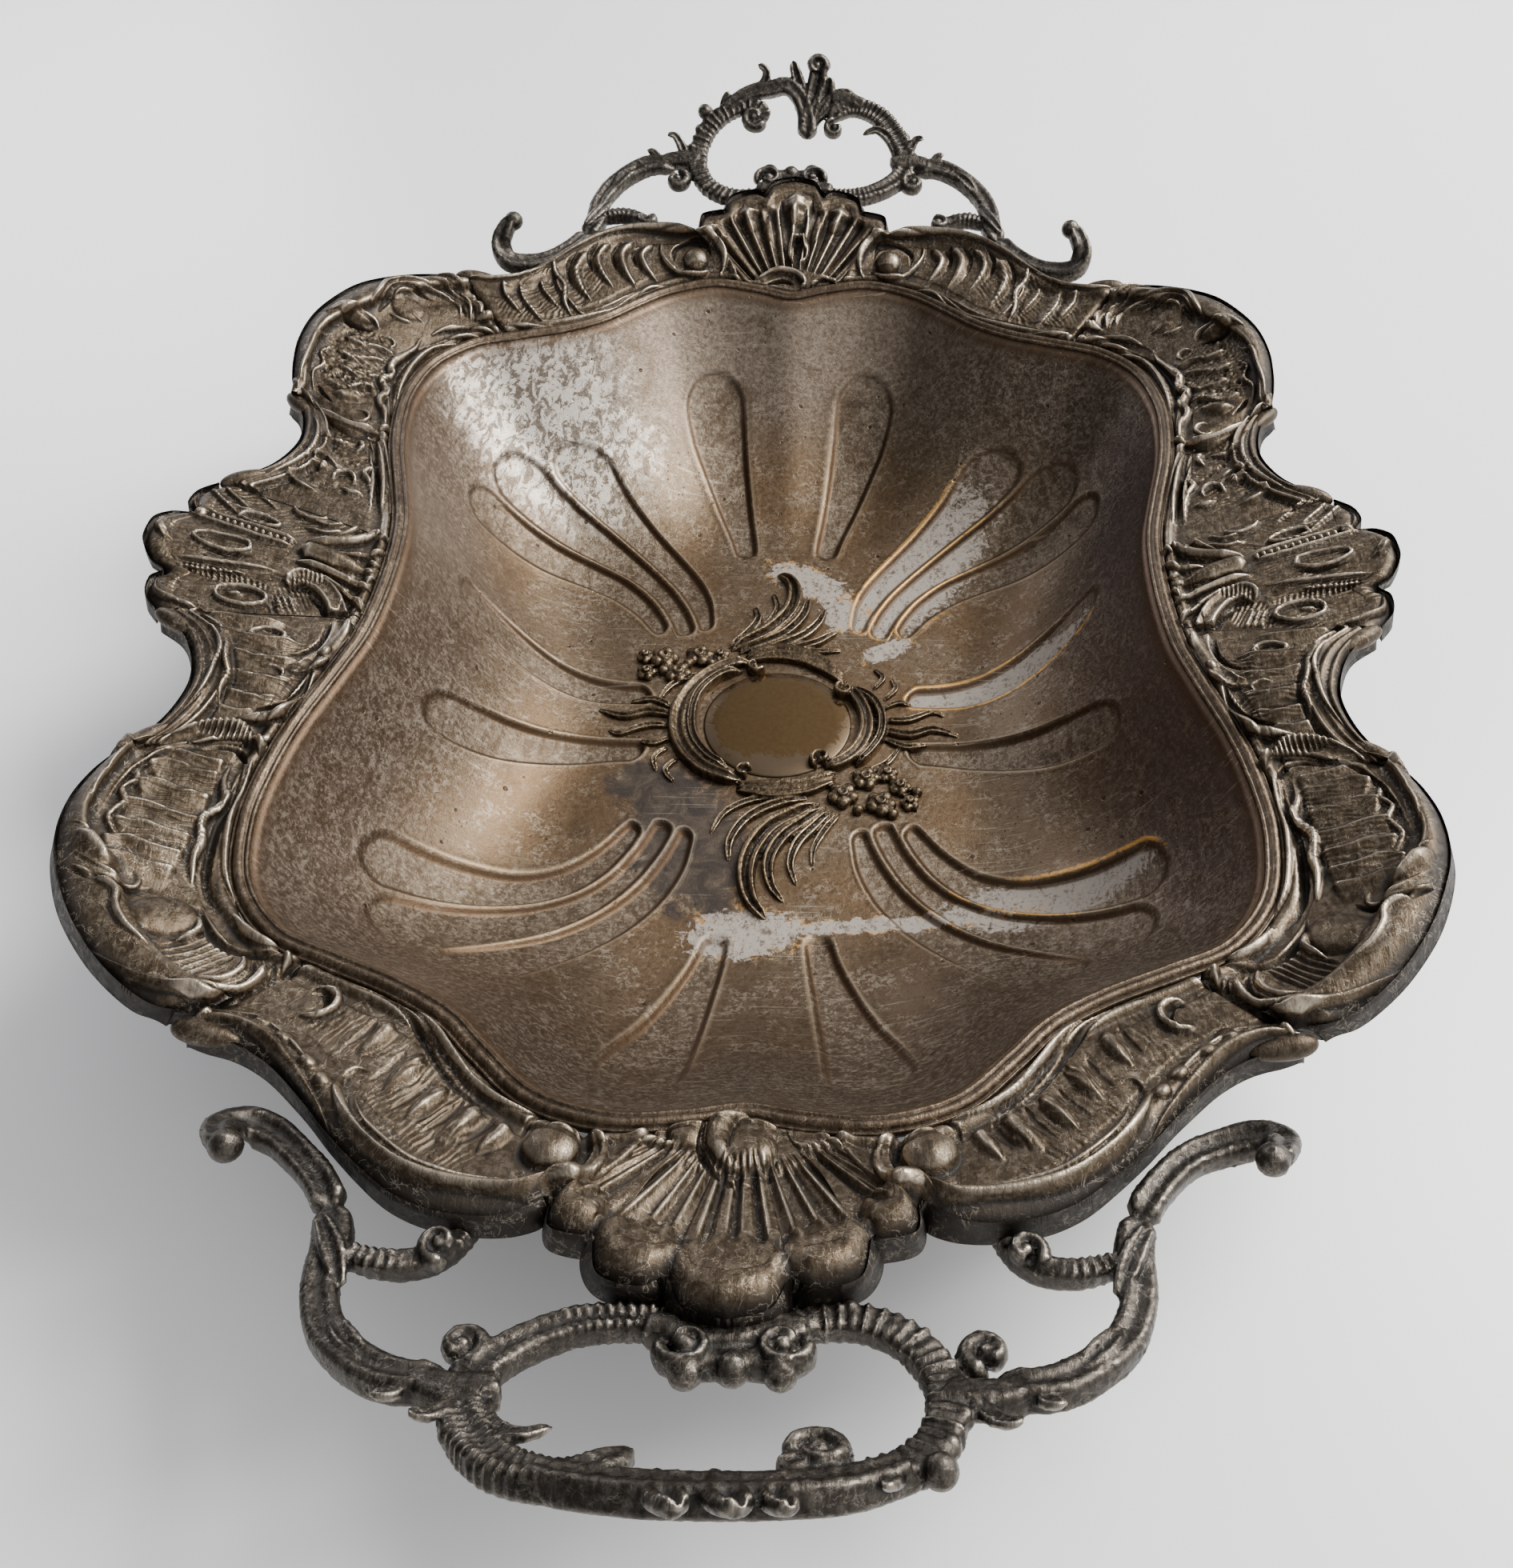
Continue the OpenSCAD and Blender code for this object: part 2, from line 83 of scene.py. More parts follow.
# Flutes of one quarter: the two long edges of each, then the share of the way out where it starts and ends.
LINES = {
    "axis_low": [(32, 6), (40, 5.8), (48, 6), (56, 7.2), (66, 9.8), (73, 13), (80, 16)],
    "axis_high": [(32, 13.6), (40, 14.2), (48, 15.8), (56, 18.4), (66, 22.8), (73, 25.4), (80, 27)],
    "corner_1": [(28.6, 28), (31.6, 30.4), (34.4, 33.4), (37.4, 37.6), (41.4, 42), (47, 46.2), (55, 49.2),
                 (65, 50.4), (77, 52), (86, 54)],
    "corner_2": [(24.4, 26), (27.2, 30.4), (29, 35), (31.6, 41), (35.8, 47.6), (42, 53.6), (50, 58),
                 (60, 61.6), (70, 65), (80, 68.6), (88, 72)],
    "corner_3": [(19.6, 28), (21.6, 32.4), (23.2, 38), (25.7, 44), (30, 51.4), (37, 59.6), (46, 67.4),
                 (56, 74), (64, 79.6), (71, 86), (76, 92)],
    "corner_4": [(17.4, 30), (17.4, 34), (17.8, 40), (19, 47), (22.4, 55), (28, 63), (35.6, 71.6), (43, 80),
                 (49, 88.6), (52.6, 96), (54, 102)],
    "end_high": [(13.4, 60), (15.6, 70), (19.4, 80), (24, 91), (27.6, 99), (30, 107), (31, 114)],
    "end_low": [(7, 60), (7.8, 70), (9.5, 82), (11.3, 97), (12.2, 108), (12.8, 116)],
}
FLUTES = [
    ("axis_low", "axis_high", 0.36, 0.9),
    ("corner_1", "corner_2", 0.352, 0.875),
    ("corner_2", "corner_3", 0.318, 0.87),
    ("corner_3", "corner_4", 0.318, 0.86),
    ("end_high", "end_low", 0.485, 0.895)]
FLUTE_DEPTH = 1.25
FLUTE_WALL = 1.5


# ---------------------------------------------------------------- curves and meshes
def spline(points, steps=8):
    """Smooth curve through the points, with steps samples to a span."""
    p = np.asarray(points, float)
    p = np.vstack([p[:1], p, p[-1:]])
    t = np.linspace(0, 1, steps, endpoint=False)[:, None]
    spans = [
        0.5 * (2 * b + (c - a) * t + (2 * a - 5 * b + 4 * c - d) * t ** 2 + (3 * b - a - 3 * c + d) * t ** 3)
        for a, b, c, d in zip(p[:-3], p[1:-2], p[2:-1], p[3:])]
    return np.vstack(spans + [p[-1:]])


def ease(t):
    """Smooth step from 0 to 1."""
    t = np.clip(t, 0, 1)
    return t * t * (3 - 2 * t)


def profile(distance, knots):
    """Height at a distance, along a smooth curve through (distance, height) knots."""
    curve = spline(knots, 10)
    return np.interp(distance, np.maximum.accumulate(curve[:, 0]), curve[:, 1])


def wobble(x, y, pitch, seed=0):
    """Smooth irregular waves between about -1 and 1."""
    rng = np.random.default_rng(seed)
    total = np.zeros(np.shape(x))
    for k in range(7):
        a = rng.uniform(0, math.tau)
        f = math.tau / pitch * rng.uniform(0.6, 1.5)
        total += np.sin((np.cos(a) * x + np.sin(a) * y) * f + rng.uniform(0, math.tau))
    return total / 3.2


def grid_faces(rows, cols, wrap=False, start=0):
    """Quads between points laid out in rows; wrap also joins the last column to the first."""
    i = np.arange(rows - 1)[:, None] * cols
    j = np.arange(cols if wrap else cols - 1)[None, :]
    k = (j + 1) % cols
    quads = np.stack([i + j, i + k, i + cols + k, i + cols + j], axis=-1)
    return quads.reshape(-1, 4) + start


def new_object(name, points, faces):
    """Object from points in millimetres and a list or array of faces."""
    mesh = bpy.data.meshes.new(name)
    flat = faces.tolist() if isinstance(faces, np.ndarray) else faces
    mesh.from_pydata((np.asarray(points) * MM).tolist(), [], flat)
    mesh.update()
    mesh.shade_smooth()
    obj = bpy.data.objects.new(name, mesh)
    bpy.context.scene.collection.objects.link(obj)
    return obj


def points_of(mesh):
    """Vertex positions in millimetres."""
    flat = np.empty(len(mesh.vertices) * 3)
    mesh.vertices.foreach_get("co", flat)
    return flat.reshape(-1, 3) / MM


def mark_recesses(obj, rounds=16, depth=0.45):
    """Stores how far each point lies below (1) or above (0) its smoothed surroundings."""
    mesh = obj.data
    p = points_of(mesh)
    n = np.empty(len(p) * 3)
    mesh.vertices.foreach_get("normal", n)
    n = n.reshape(-1, 3)
    e = np.empty(len(mesh.edges) * 2, dtype=np.int64)
    mesh.edges.foreach_get("vertices", e)
    a, b = e[0::2], e[1::2]
    count = np.bincount(a, minlength=len(p)) + np.bincount(b, minlength=len(p))
    count = np.maximum(count, 1)[:, None]
    q = p.copy()
    for _ in range(rounds):
        total = np.stack([
            np.bincount(a, q[b, k], len(p)) + np.bincount(b, q[a, k], len(p)) for k in range(3)], axis=1)
        q = 0.5 * q + 0.5 * total / count
    sink = np.sum((q - p) * n, axis=1)
    set_values(obj, "recess", 0.5 + 0.5 * sink / depth)


def set_values(obj, name, value):
    """Stores one number from 0 to 1 for each point."""
    layer = obj.data.attributes.new(name, "FLOAT", "POINT")
    layer.data.foreach_set("value", np.clip(value, 0, 1).astype(np.float32).ravel())


def blur(field, rounds):
    """Field smoothed over its neighbours on the grid, repeated; more rounds reach further."""
    f = field.copy()
    for _ in range(rounds):
        for axis in (0, 1):
            pad = np.concatenate([np.take(f, [0], axis), f, np.take(f, [-1], axis)], axis=axis)
            n = f.shape[axis]
            f = 0.25 * np.take(pad, range(0, n), axis) + 0.5 * f + 0.25 * np.take(pad, range(2, n + 2), axis)
    return f


# ---------------------------------------------------------------- the lip and the rim between lip and edge
def lip_table(steps=24):
    """Place, curve and outward direction of the lip along one quarter."""
    p = np.array(LIP_QUARTER, float)
    ends = np.vstack([p[1] * (1, -1, 1), p, p[-2] * (-1, 1, 1)])
    curve = spline(ends, steps)[steps:-steps]
    u = np.linspace(0, LAST, len(curve))
    d = np.gradient(curve, axis=0)
    d[0] = (0, 1, 0)
    d[-1] = (-1, 0, 0)
    side = np.stack([d[:, 1], -d[:, 0]], axis=1)
    side /= np.linalg.norm(side, axis=1)[:, None]
    return u, curve, side


def edge_table():
    """Outer edge of all the mounts of one quarter, in order of place."""
    rows = []
    for route in OUTER_EDGE.values():
        rows.append(spline(route, 16))
    table = np.vstack(rows)
    return table[np.argsort(table[:, 0], kind="stable")]


LIP_U, LIP_CURVE, LIP_SIDE = lip_table()
EDGE = edge_table()


def fold(u):
    """Place along one quarter, and the signs of x and y, for a place that may pass an axis."""
    u = np.asarray(u, float)
    sx = np.where(u > LAST, -1.0, 1.0)
    sy = np.where(u < 0, -1.0, 1.0)
    w = np.abs(u)
    return np.where(w > LAST, 2 * LAST - w, w), sx, sy


def lip_at(u, outward=0.0):
    """Point at a distance outside the lip."""
    w, sx, sy = fold(u)
    p = [np.interp(w, LIP_U, LIP_CURVE[:, k]) for k in range(3)]
    s = [np.interp(w, LIP_U, LIP_SIDE[:, k]) for k in range(2)]
    return np.stack([(p[0] + s[0] * outward) * sx, (p[1] + s[1] * outward) * sy, p[2] + LIP_Z], axis=-1)


def edge_at(u):
    """Point on the outer edge of the rim."""
    w, sx, sy = fold(u)
    x, y, z = (np.interp(w, EDGE[:, 0], EDGE[:, k]) for k in (1, 2, 3))
    return np.stack([x * sx, y * sy, z + LIP_Z], axis=-1)


# ---------------------------------------------------------------- chased ornament
class Relief:
    """Height of the chasing over a patch of metal, built up stroke by stroke in plan."""

    def __init__(self, x, y):
        self.x, self.y = x, y
        self.up = np.zeros_like(x)
        self.cut = np.zeros_like(x)

    def along(self, route, reach):
        """Points within reach of a smooth route: index, distance, share along it and side."""
        curve = spline(route, 5 if len(route) > 2 else 1)
        low = curve.min(axis=0) - reach
        high = curve.max(axis=0) + reach
        pick = np.nonzero((self.x > low[0]) & (self.x < high[0]) & (self.y > low[1]) & (self.y < high[1]))
        x, y = self.x[pick], self.y[pick]
        best = np.full(x.shape, 1e9)
        share = np.zeros_like(x)
        side = np.zeros_like(x)
        step = np.linalg.norm(np.diff(curve, axis=0), axis=1)
        start = np.concatenate([[0], np.cumsum(step)])
        for k, length in enumerate(step):
            if length == 0:
                continue
            d = (curve[k + 1] - curve[k]) / length
            ax, ay = x - curve[k, 0], y - curve[k, 1]
            t = np.clip(ax * d[0] + ay * d[1], 0, length)
            gap = np.hypot(ax - t * d[0], ay - t * d[1])
            closer = gap < best
            best = np.where(closer, gap, best)
            share = np.where(closer, (start[k] + t) / start[-1], share)
            side = np.where(closer, np.sign(d[0] * ay - d[1] * ax), side)
        return pick, best, share, side

    def stroke(self, layer, width, height, route, taper, shape):
        """Raises a layer along a route, fading towards the two ends."""
        pick, gap, share, side = self.along(route, width)
        a, b = taper
        fade = np.ones_like(share)
        if a > 0:
            fade *= np.clip(share / a, 0, 1) ** 0.6
        if b > 0:
            fade *= np.clip((1 - share) / b, 0, 1) ** 0.6
        half = width / 2 * np.maximum(fade, 0.05)
        lift = height * fade * shape(gap / half, side)
        layer[pick] = np.maximum(layer[pick], lift)

    def ridge(self, width, height, *route, taper=(0.3, 0.3)):
        """Rounded raised line that thins towards its ends."""
        self.stroke(self.up, width, height, route, taper, lambda r, s: np.sqrt(np.clip(1 - r * r, 0, 1)))

    def soft(self, width, height, *route, taper=(0.3, 0.3)):
        """Broad soft swelling along a line."""
        self.stroke(self.up, width, height, route, taper, lambda r, s: np.clip(1 - r * r, 0, 1) ** 2)

    def groove(self, width, depth, *route, taper=(0.3, 0.3)):
        """Rounded cut along a line."""
        self.stroke(self.cut, width, depth, route, taper, lambda r, s: np.clip(1 - r * r, 0, 1))

    def channel(self, width, height, *route, taper=(0.15, 0.15), hollow=0.7):
        """Scroll band with two raised edges and a hollow between them."""
        def shape(r, s):
            """Height over the band, by distance from its middle and side."""
            inside = np.clip(1 - r ** 6, 0, 1) ** 0.5
            return inside * (1 - hollow * np.clip(1 - (r / 0.75) ** 2, 0, 1))
        self.stroke(self.up, width, height, route, taper, shape)

    def fold_edge(self, width, height, *route, taper=(0.2, 0.2)):
        """Overlapping edge: steep on the left of the route, sinking away gently on its right."""
        def shape(r, s):
            """Height over the band, by distance from its middle and side."""
            return np.where(s > 0, np.clip(1 - 4 * r, 0, 1), np.clip(1 - r, 0, 1) ** 1.5)
        self.stroke(self.up, width * 2, height, route, taper, shape)

    def dome(self, radius, height, x, y):
        """Round boss."""
        r = np.hypot(self.x - x, self.y - y) / radius
        self.up = np.maximum(self.up, height * np.sqrt(np.clip(1 - r * r, 0, 1)))

    def ring(self, radius, width, height, x, y, start=0, end=360):
        """Raised ring or part of one, between two angles."""
        turn = np.radians(np.linspace(start, end, 13))
        route = np.stack([x + radius * np.cos(turn), y + radius * np.sin(turn)], axis=1)
        ends = (0, 0) if end - start >= 360 else (0.25, 0.25)
        self.ridge(width, height, *route, taper=ends)

    def spot(self, x, y, rx, ry, turn=0):
        """Soft-edged oval mask."""
        c, s = math.cos(math.radians(turn)), math.sin(math.radians(turn))
        dx, dy = self.x - x, self.y - y
        r = np.hypot((dx * c + dy * s) / rx, (dy * c - dx * s) / ry)
        return ease((1.15 - r) / 0.3)

    def hatch(self, depth, pitch, angle, x, y, rx, ry, turn=0):
        """Fine parallel cuts over an oval patch; angle is the direction of the cuts."""
        c, s = math.cos(math.radians(angle)), math.sin(math.radians(angle))
        across = (self.y - y) * c - (self.x - x) * s + 0.25 * pitch * wobble(self.x, self.y, 9, 5)
        wave = 0.5 - 0.5 * np.cos(math.tau * across / pitch)
        self.cut += depth * wave ** 1.5 * self.spot(x, y, rx, ry, turn)

    def grain(self, depth, pitch, angle, x, y, rx, ry, turn=0):
        """Uneven long striations over an oval patch; angle is their direction."""
        c, s = math.cos(math.radians(angle)), math.sin(math.radians(angle))
        dx, dy = self.x - x, self.y - y
        along, across = dx * c + dy * s, dy * c - dx * s
        drift = 0.9 * wobble(along * 0.6, across, 11, 21) + 0.35 * wobble(along, across, 5, 22)
        wave = np.abs(np.sin(math.pi * across / pitch + drift * 2.2)) ** 1.6
        loud = 0.55 + 0.45 * wobble(along * 0.7, across * 1.6, 7, 23)
        self.cut += depth * wave * np.clip(loud, 0, 1.3) * self.spot(x, y, rx, ry, turn)

    def fan(self, depth, count, x, y, r0, r1, a0, a1):
        """Flutes that spread from a centre between two radii and two angles."""
        dx, dy = self.x - x, self.y - y
        r = np.hypot(dx, dy)
        a = np.degrees(np.arctan2(dy, dx))
        share = (a - a0) / (a1 - a0)
        wave = 0.5 - 0.5 * np.cos(math.tau * share * count)
        mask = ease(share * count * 2) * ease((1 - share) * count * 2)
        mask = mask * ease((r - r0) / 2) * ease((r1 - r) / 2)
        self.cut += depth * wave * mask

    def pebbles(self, height, pitch, x, y, rx, ry, turn=0, seed=0):
        """Uneven matted ground."""
        grain = wobble(self.x, self.y, pitch, seed) * wobble(self.x + 31, self.y - 17, pitch * 0.7, seed + 1)
        self.cut += height * np.abs(grain) * self.spot(x, y, rx, ry, turn)

    def height(self):
        """Raised work less the cuts."""
        return self.up - self.cut


# ---------------------------------------------------------------- basin, lip moulding and plaque
def wall_rise(t):
    """Share of the full height at a share of the way out."""
    return np.clip((t - FLAT_PART) / (1 - FLAT_PART), 0, 1) ** WALL_POWER


def lip_polar():
    """Angle, reach and level of the lip along one quarter."""
    return (np.degrees(np.arctan2(LIP_CURVE[:, 1], LIP_CURVE[:, 0])),
            np.hypot(LIP_CURVE[:, 0], LIP_CURVE[:, 1]), LIP_CURVE[:, 2])


def line_angle(route, t):
    """Angle of a flute line at each share of the way out to the lip."""
    curve = spline(route, 10)
    angles, radii, _ = lip_polar()
    a = np.degrees(np.arctan2(curve[:, 1], curve[:, 0]))
    share = np.hypot(curve[:, 0], curve[:, 1]) / np.interp(a, angles, radii)
    return np.interp(t, share, a)


def basin_columns(t):
    """Columns of one quarter, dense across the flute walls.

    Each is its angle at each t, its flute (-1 outside any), its place in the flute and the flute's width
    in degrees.
    """
    across = np.concatenate([np.linspace(0, 0.2, 8)[:-1], np.linspace(0.2, 0.8, 10)[:-1],
                             np.linspace(0.8, 1, 8)])
    columns = []
    previous = np.zeros_like(t)
    for k, (first, second, *_) in enumerate(FLUTES):
        a, b = line_angle(LINES[first], t), line_angle(LINES[second], t)
        count = int(max(1, (a - previous).max() / 1.0))
        for j in range(1 if k else 0, count if (a - previous).max() > 0.01 else 0):
            columns.append((previous + (a - previous) * j / count, -1, 0.0, 0 * t))
        start = 1 if FLUTES[k - 1][1] == first else 0
        columns += [(a + (b - a) * p, k, p, b - a) for p in across[start:]]
        previous = b
    for j in range(1, 7):
        columns.append((previous + (90 - previous) * j / 7, -1, 0.0, 0 * t))
    columns.append((np.full_like(t, 90.0), -1, 0.0, 0 * t))
    return columns


def flute_depth_at(t, flute, place, width, reach):
    """Distance inside the outline of a flute with rounded ends."""
    if flute < 0:
        return np.full_like(t, -9.0)
    start, end = FLUTES[flute][2:]
    half = width / 2
    off = np.abs(place - 0.5) * width
    low = (start * reach) + np.interp(start, t, half)
    high = (end * reach) - np.interp(end, t, half) * 0.8
    r = t * reach
    beyond = np.where(r < low, low - r, np.where(r > high, (r - high) * 1.25, 0))
    return half - np.hypot(off, beyond)


def build_basin():
    """Fluted basin with its underside, and the recess values of its points."""
    t_rows = np.concatenate([
        np.linspace(0.06, 0.27, 5), np.linspace(0.3, 0.42, 30)[:-1], np.linspace(0.42, 0.82, 42)[:-1],
        np.linspace(0.82, 0.92, 22)[:-1], np.linspace(0.92, 1, 9)])
    angles, radii, levels = lip_polar()

    def quarter(t, sheet):
        """Columns of one quarter: points, recess marks and flute floors."""
        out, marks, floors = [], [], []
        for a, flute, place, spread in basin_columns(t):
            reach = np.interp(a, angles, radii)
            level = np.interp(a, angles, levels)
            rise = wall_rise(t)
            slope = BASIN_DEPTH * (rise - wall_rise(t - 0.01)) / (0.01 * reach)
            tilt = np.arctan(slope)
            inside = flute_depth_at(t, flute, place, reach * t * np.radians(spread), reach)
            fade = 1 - 0.5 * ease((t - 0.7) / 0.2)
            sink = FLUTE_DEPTH * fade * ease((inside - 0.3) / FLUTE_WALL)
            sink -= 0.2 * fade * np.exp(-((inside + 0.1) / 0.45) ** 2)
            # Recess marks: high just inside each flute step and below the lip, low on the step's edge; the
            # material lays dirt with painted shade on the high ones and a painted highlight on the low ones.
            mark = 0.5 + fade * (0.42 * np.exp(-((inside - FLUTE_WALL * 0.8) / 0.62) ** 2)
                                 - 0.3 * np.exp(-((inside + 0.05) / 0.5) ** 2))
            mark += 0.3 * np.exp(-((1 - t) * reach / 2.2) ** 2)
            floors.append(ease((inside - 0.9) / 0.8) * ease((0.93 - t) / 0.1))
            deep = sink
            if sheet:
                deep = SHEET + sink * ease(rise * BASIN_DEPTH / 5 - 0.4)
            z = SHEET + (BASIN_DEPTH + level) * rise
            r = reach * t + deep * np.sin(tilt)
            ar = np.radians(a)
            out.append(np.stack([r * np.cos(ar), r * np.sin(ar), np.maximum(z - deep * np.cos(tilt), 0)],
                                axis=1))
            marks.append(mark)
        return np.array(out), np.array(marks), np.array(floors)

    def all_round(part, turns):
        """Four mirrored quarters joined into rows."""
        whole = [part[:-1] * turns[0], part[1:][::-1] * turns[1], part[:-1] * turns[2],
                 part[1:][::-1] * turns[3]]
        return np.concatenate(whole).swapaxes(0, 1)

    mirrors = [np.array(m) for m in ((1, 1, 1), (-1, 1, 1), (-1, -1, 1), (1, -1, 1))]
    top, marks, floors = quarter(t_rows, False)
    keep = np.append(np.arange(0, len(t_rows) - 1, 5), len(t_rows) - 1)
    under, *_ = quarter(t_rows[keep], True)
    rows = np.concatenate([all_round(top, mirrors), all_round(under, mirrors)[::-1]])
    spare = len(keep) * rows.shape[1] + 2
    recess = np.concatenate([all_round(marks, (1, 1, 1, 1)).ravel(), np.full(spare, 0.55)])
    floor = np.concatenate([all_round(floors, (1, 1, 1, 1)).ravel(), np.zeros(spare)])
    count, cols = rows.shape[:2]
    points = np.vstack([rows.reshape(-1, 3), [(0, 0, SHEET), (0, 0, 0)]])
    above, below, last = len(points) - 2, len(points) - 1, (count - 1) * cols
    faces = grid_faces(count, cols, wrap=True)[:, ::-1].tolist()
    faces += [(above, k, (k + 1) % cols) for k in range(cols)]
    faces += [(below, last + (k + 1) % cols, last + k) for k in range(cols)]
    obj = new_object("basin_skin", points, faces)
    set_values(obj, "flute_floor", floor)
    set_values(obj, "inside", np.arange(len(points)) < len(t_rows) * cols)
    return obj, recess


def build_lip():
    """Flattened half-round moulding with a fine bead along each side."""
    section = [(-0.1, -0.6), (-0.1, 0.35), (0.15, 0.75), (0.45, 0.85), (0.7, 0.55), (0.85, 0.5),
               (1.05, 0.9), (1.4, 1.25), (1.9, 1.4), (2.4, 1.25), (2.75, 0.9), (2.95, 0.5), (3.1, 0.45),
               (3.3, 0.7), (3.55, 0.6), (3.7, 0.1), (3.7, -0.9)]
    u = np.linspace(0, LAST, 18 * LAST + 1)
    quarter = []
    for out, lift in section:
        row = lip_at(u, out + JOINT_GAP)
        row[:, 2] += lift
        quarter.append(row)
    quarter = np.array(quarter).transpose(1, 0, 2)
    ring = np.concatenate([quarter[:-1], quarter[1:][::-1] * (-1, 1, 1), quarter[:-1] * (-1, -1, 1),
                           quarter[1:][::-1] * (1, -1, 1)])
    count, cols = ring.shape[:2]
    faces = grid_faces(count + 1, cols, wrap=True)[:, ::-1] % (count * cols)
    obj = new_object("lip_moulding", ring.reshape(-1, 3), faces)
    marks = np.array([0.8, 0.6, 0.4, 0.42, 0.66, 0.7, 0.5, 0.4, 0.34, 0.4, 0.5, 0.7, 0.72, 0.45, 0.5, 0.8,
                      0.8])
    return obj, np.tile(marks, count)


def turned(name, knots, sides=180):
    """Round piece from radius and height pairs."""
    a = np.linspace(0, math.tau, sides, endpoint=False)
    rows = np.array([np.stack([r * np.cos(a), r * np.sin(a), np.full(sides, z)], axis=1) for r, z in knots])
    points = np.vstack([rows.reshape(-1, 3), [(0, 0, knots[-1][1]), (0, 0, knots[0][1])]])
    faces = grid_faces(len(knots), sides, wrap=True).tolist()
    last = (len(knots) - 1) * sides
    faces += [(last + k, last + (k + 1) % sides, len(points) - 2) for k in range(sides)]
    faces += [((k + 1) % sides, k, len(points) - 1) for k in range(sides)]
    return new_object(name, points, faces)


# ---------------------------------------------------------------- struck mounts of the rim
def mount_patch(ends, bulge, columns, rows, corner):
    """Base surface of a mount: points, distance from the lip side and the outer edge, share along it."""
    k = np.linspace(0, 1, columns)[:, None]
    v = np.linspace(0, 1, rows)
    v = np.clip(v + 0.35 * np.sin(np.pi * v) * v, 0, 1)[None, :]
    u0 = ends[0] - bulge[0] * np.sin(np.pi * v)
    u1 = ends[1] + bulge[1] * np.sin(np.pi * v)
    u = u0 + (u1 - u0) * k
    inner = lip_at(u, BEAD_WIDTH + 2 * JOINT_GAP)
    outer = edge_at(u)
    width = np.linalg.norm((outer - inner)[..., :2], axis=-1)
    length = np.linalg.norm(outer[-1, -1] - outer[0, -1])
    pull = np.zeros_like(k)
    for radius, gap in zip(corner, (k * length, (1 - k) * length)):
        if radius:
            pull += radius - np.sqrt(np.maximum(radius ** 2 - np.maximum(radius - gap, 0) ** 2, 0))
    outer = outer - (outer - inner) * (pull / np.maximum(width, 1))[..., None]
    width = np.linalg.norm((outer - inner)[..., :2], axis=-1)
    base = inner + (outer - inner) * v[..., None]
    return base, v * width, (1 - v) * width, k * np.ones_like(v)


# A scroll's rounded end: half its length, and how far its centre lies back, inward and below the tip.
HORN_HALF = 5.8
HORN_BACK = 5.2
HORN_INWARD = 0.9
HORN_BELOW = 0.7
# A struck mount: sheet thickness, how far raised and sunken relief shows on its back, depth of its outer lip.
MOUNT_SHEET = 1.2
BACK_OF_RAISED = 0.55
BACK_OF_SUNKEN = 0.95
LIP_RETURN = 0.7
# Past this distance from the middle the mounts are drawn in, so the chasing stays inside the frame's box.
TIP_START = 131.0
TIP_DRAW_IN = 0.235


def horn(tip, root, inward, radius, sides=24, rings=18):
    """Rounded end of a scroll, lying along the outer edge: points and faces."""
    axis = (tip - root) / np.linalg.norm(tip - root)
    side = np.cross(axis, (0, 0, 1))
    side /= np.linalg.norm(side)
    up = np.cross(side, axis)
    if np.dot(side, inward) < 0:
        side = -side
    centre = tip - HORN_BACK * axis + HORN_INWARD * side - HORN_BELOW * up
    a = np.linspace(-math.pi / 2, math.pi / 2, rings)[1:-1, None]
    b = np.linspace(0, math.tau, sides, endpoint=False)[None, :]
    swell = 1 + 0.25 * np.sin(a)
    along, across, over = np.sin(a) + 0 * b, swell * np.cos(a) * np.cos(b), swell * np.cos(a) * np.sin(b)
    round_it = across[..., None] * side + over[..., None] * up
    body = centre + HORN_HALF * along[..., None] * axis + radius * round_it
    poles = np.stack([centre - HORN_HALF * axis, centre + HORN_HALF * axis])
    points = np.vstack([body.reshape(-1, 3), poles])
    rows = rings - 2
    low, high = rows * sides, rows * sides + 1
    faces = grid_faces(rows, sides, wrap=True).tolist()
    faces += [(low, (k + 1) % sides, k) for k in range(sides)]
    faces += [(high, (rows - 1) * sides + k, (rows - 1) * sides + (k + 1) % sides) for k in range(sides)]
    first, second, third = (points[k] for k in faces[0][:3])
    turned_in = np.dot(np.cross(second - first, third - first), first - centre) < 0
    return points, [tuple(f[::-1]) if turned_in else tuple(f) for f in faces]


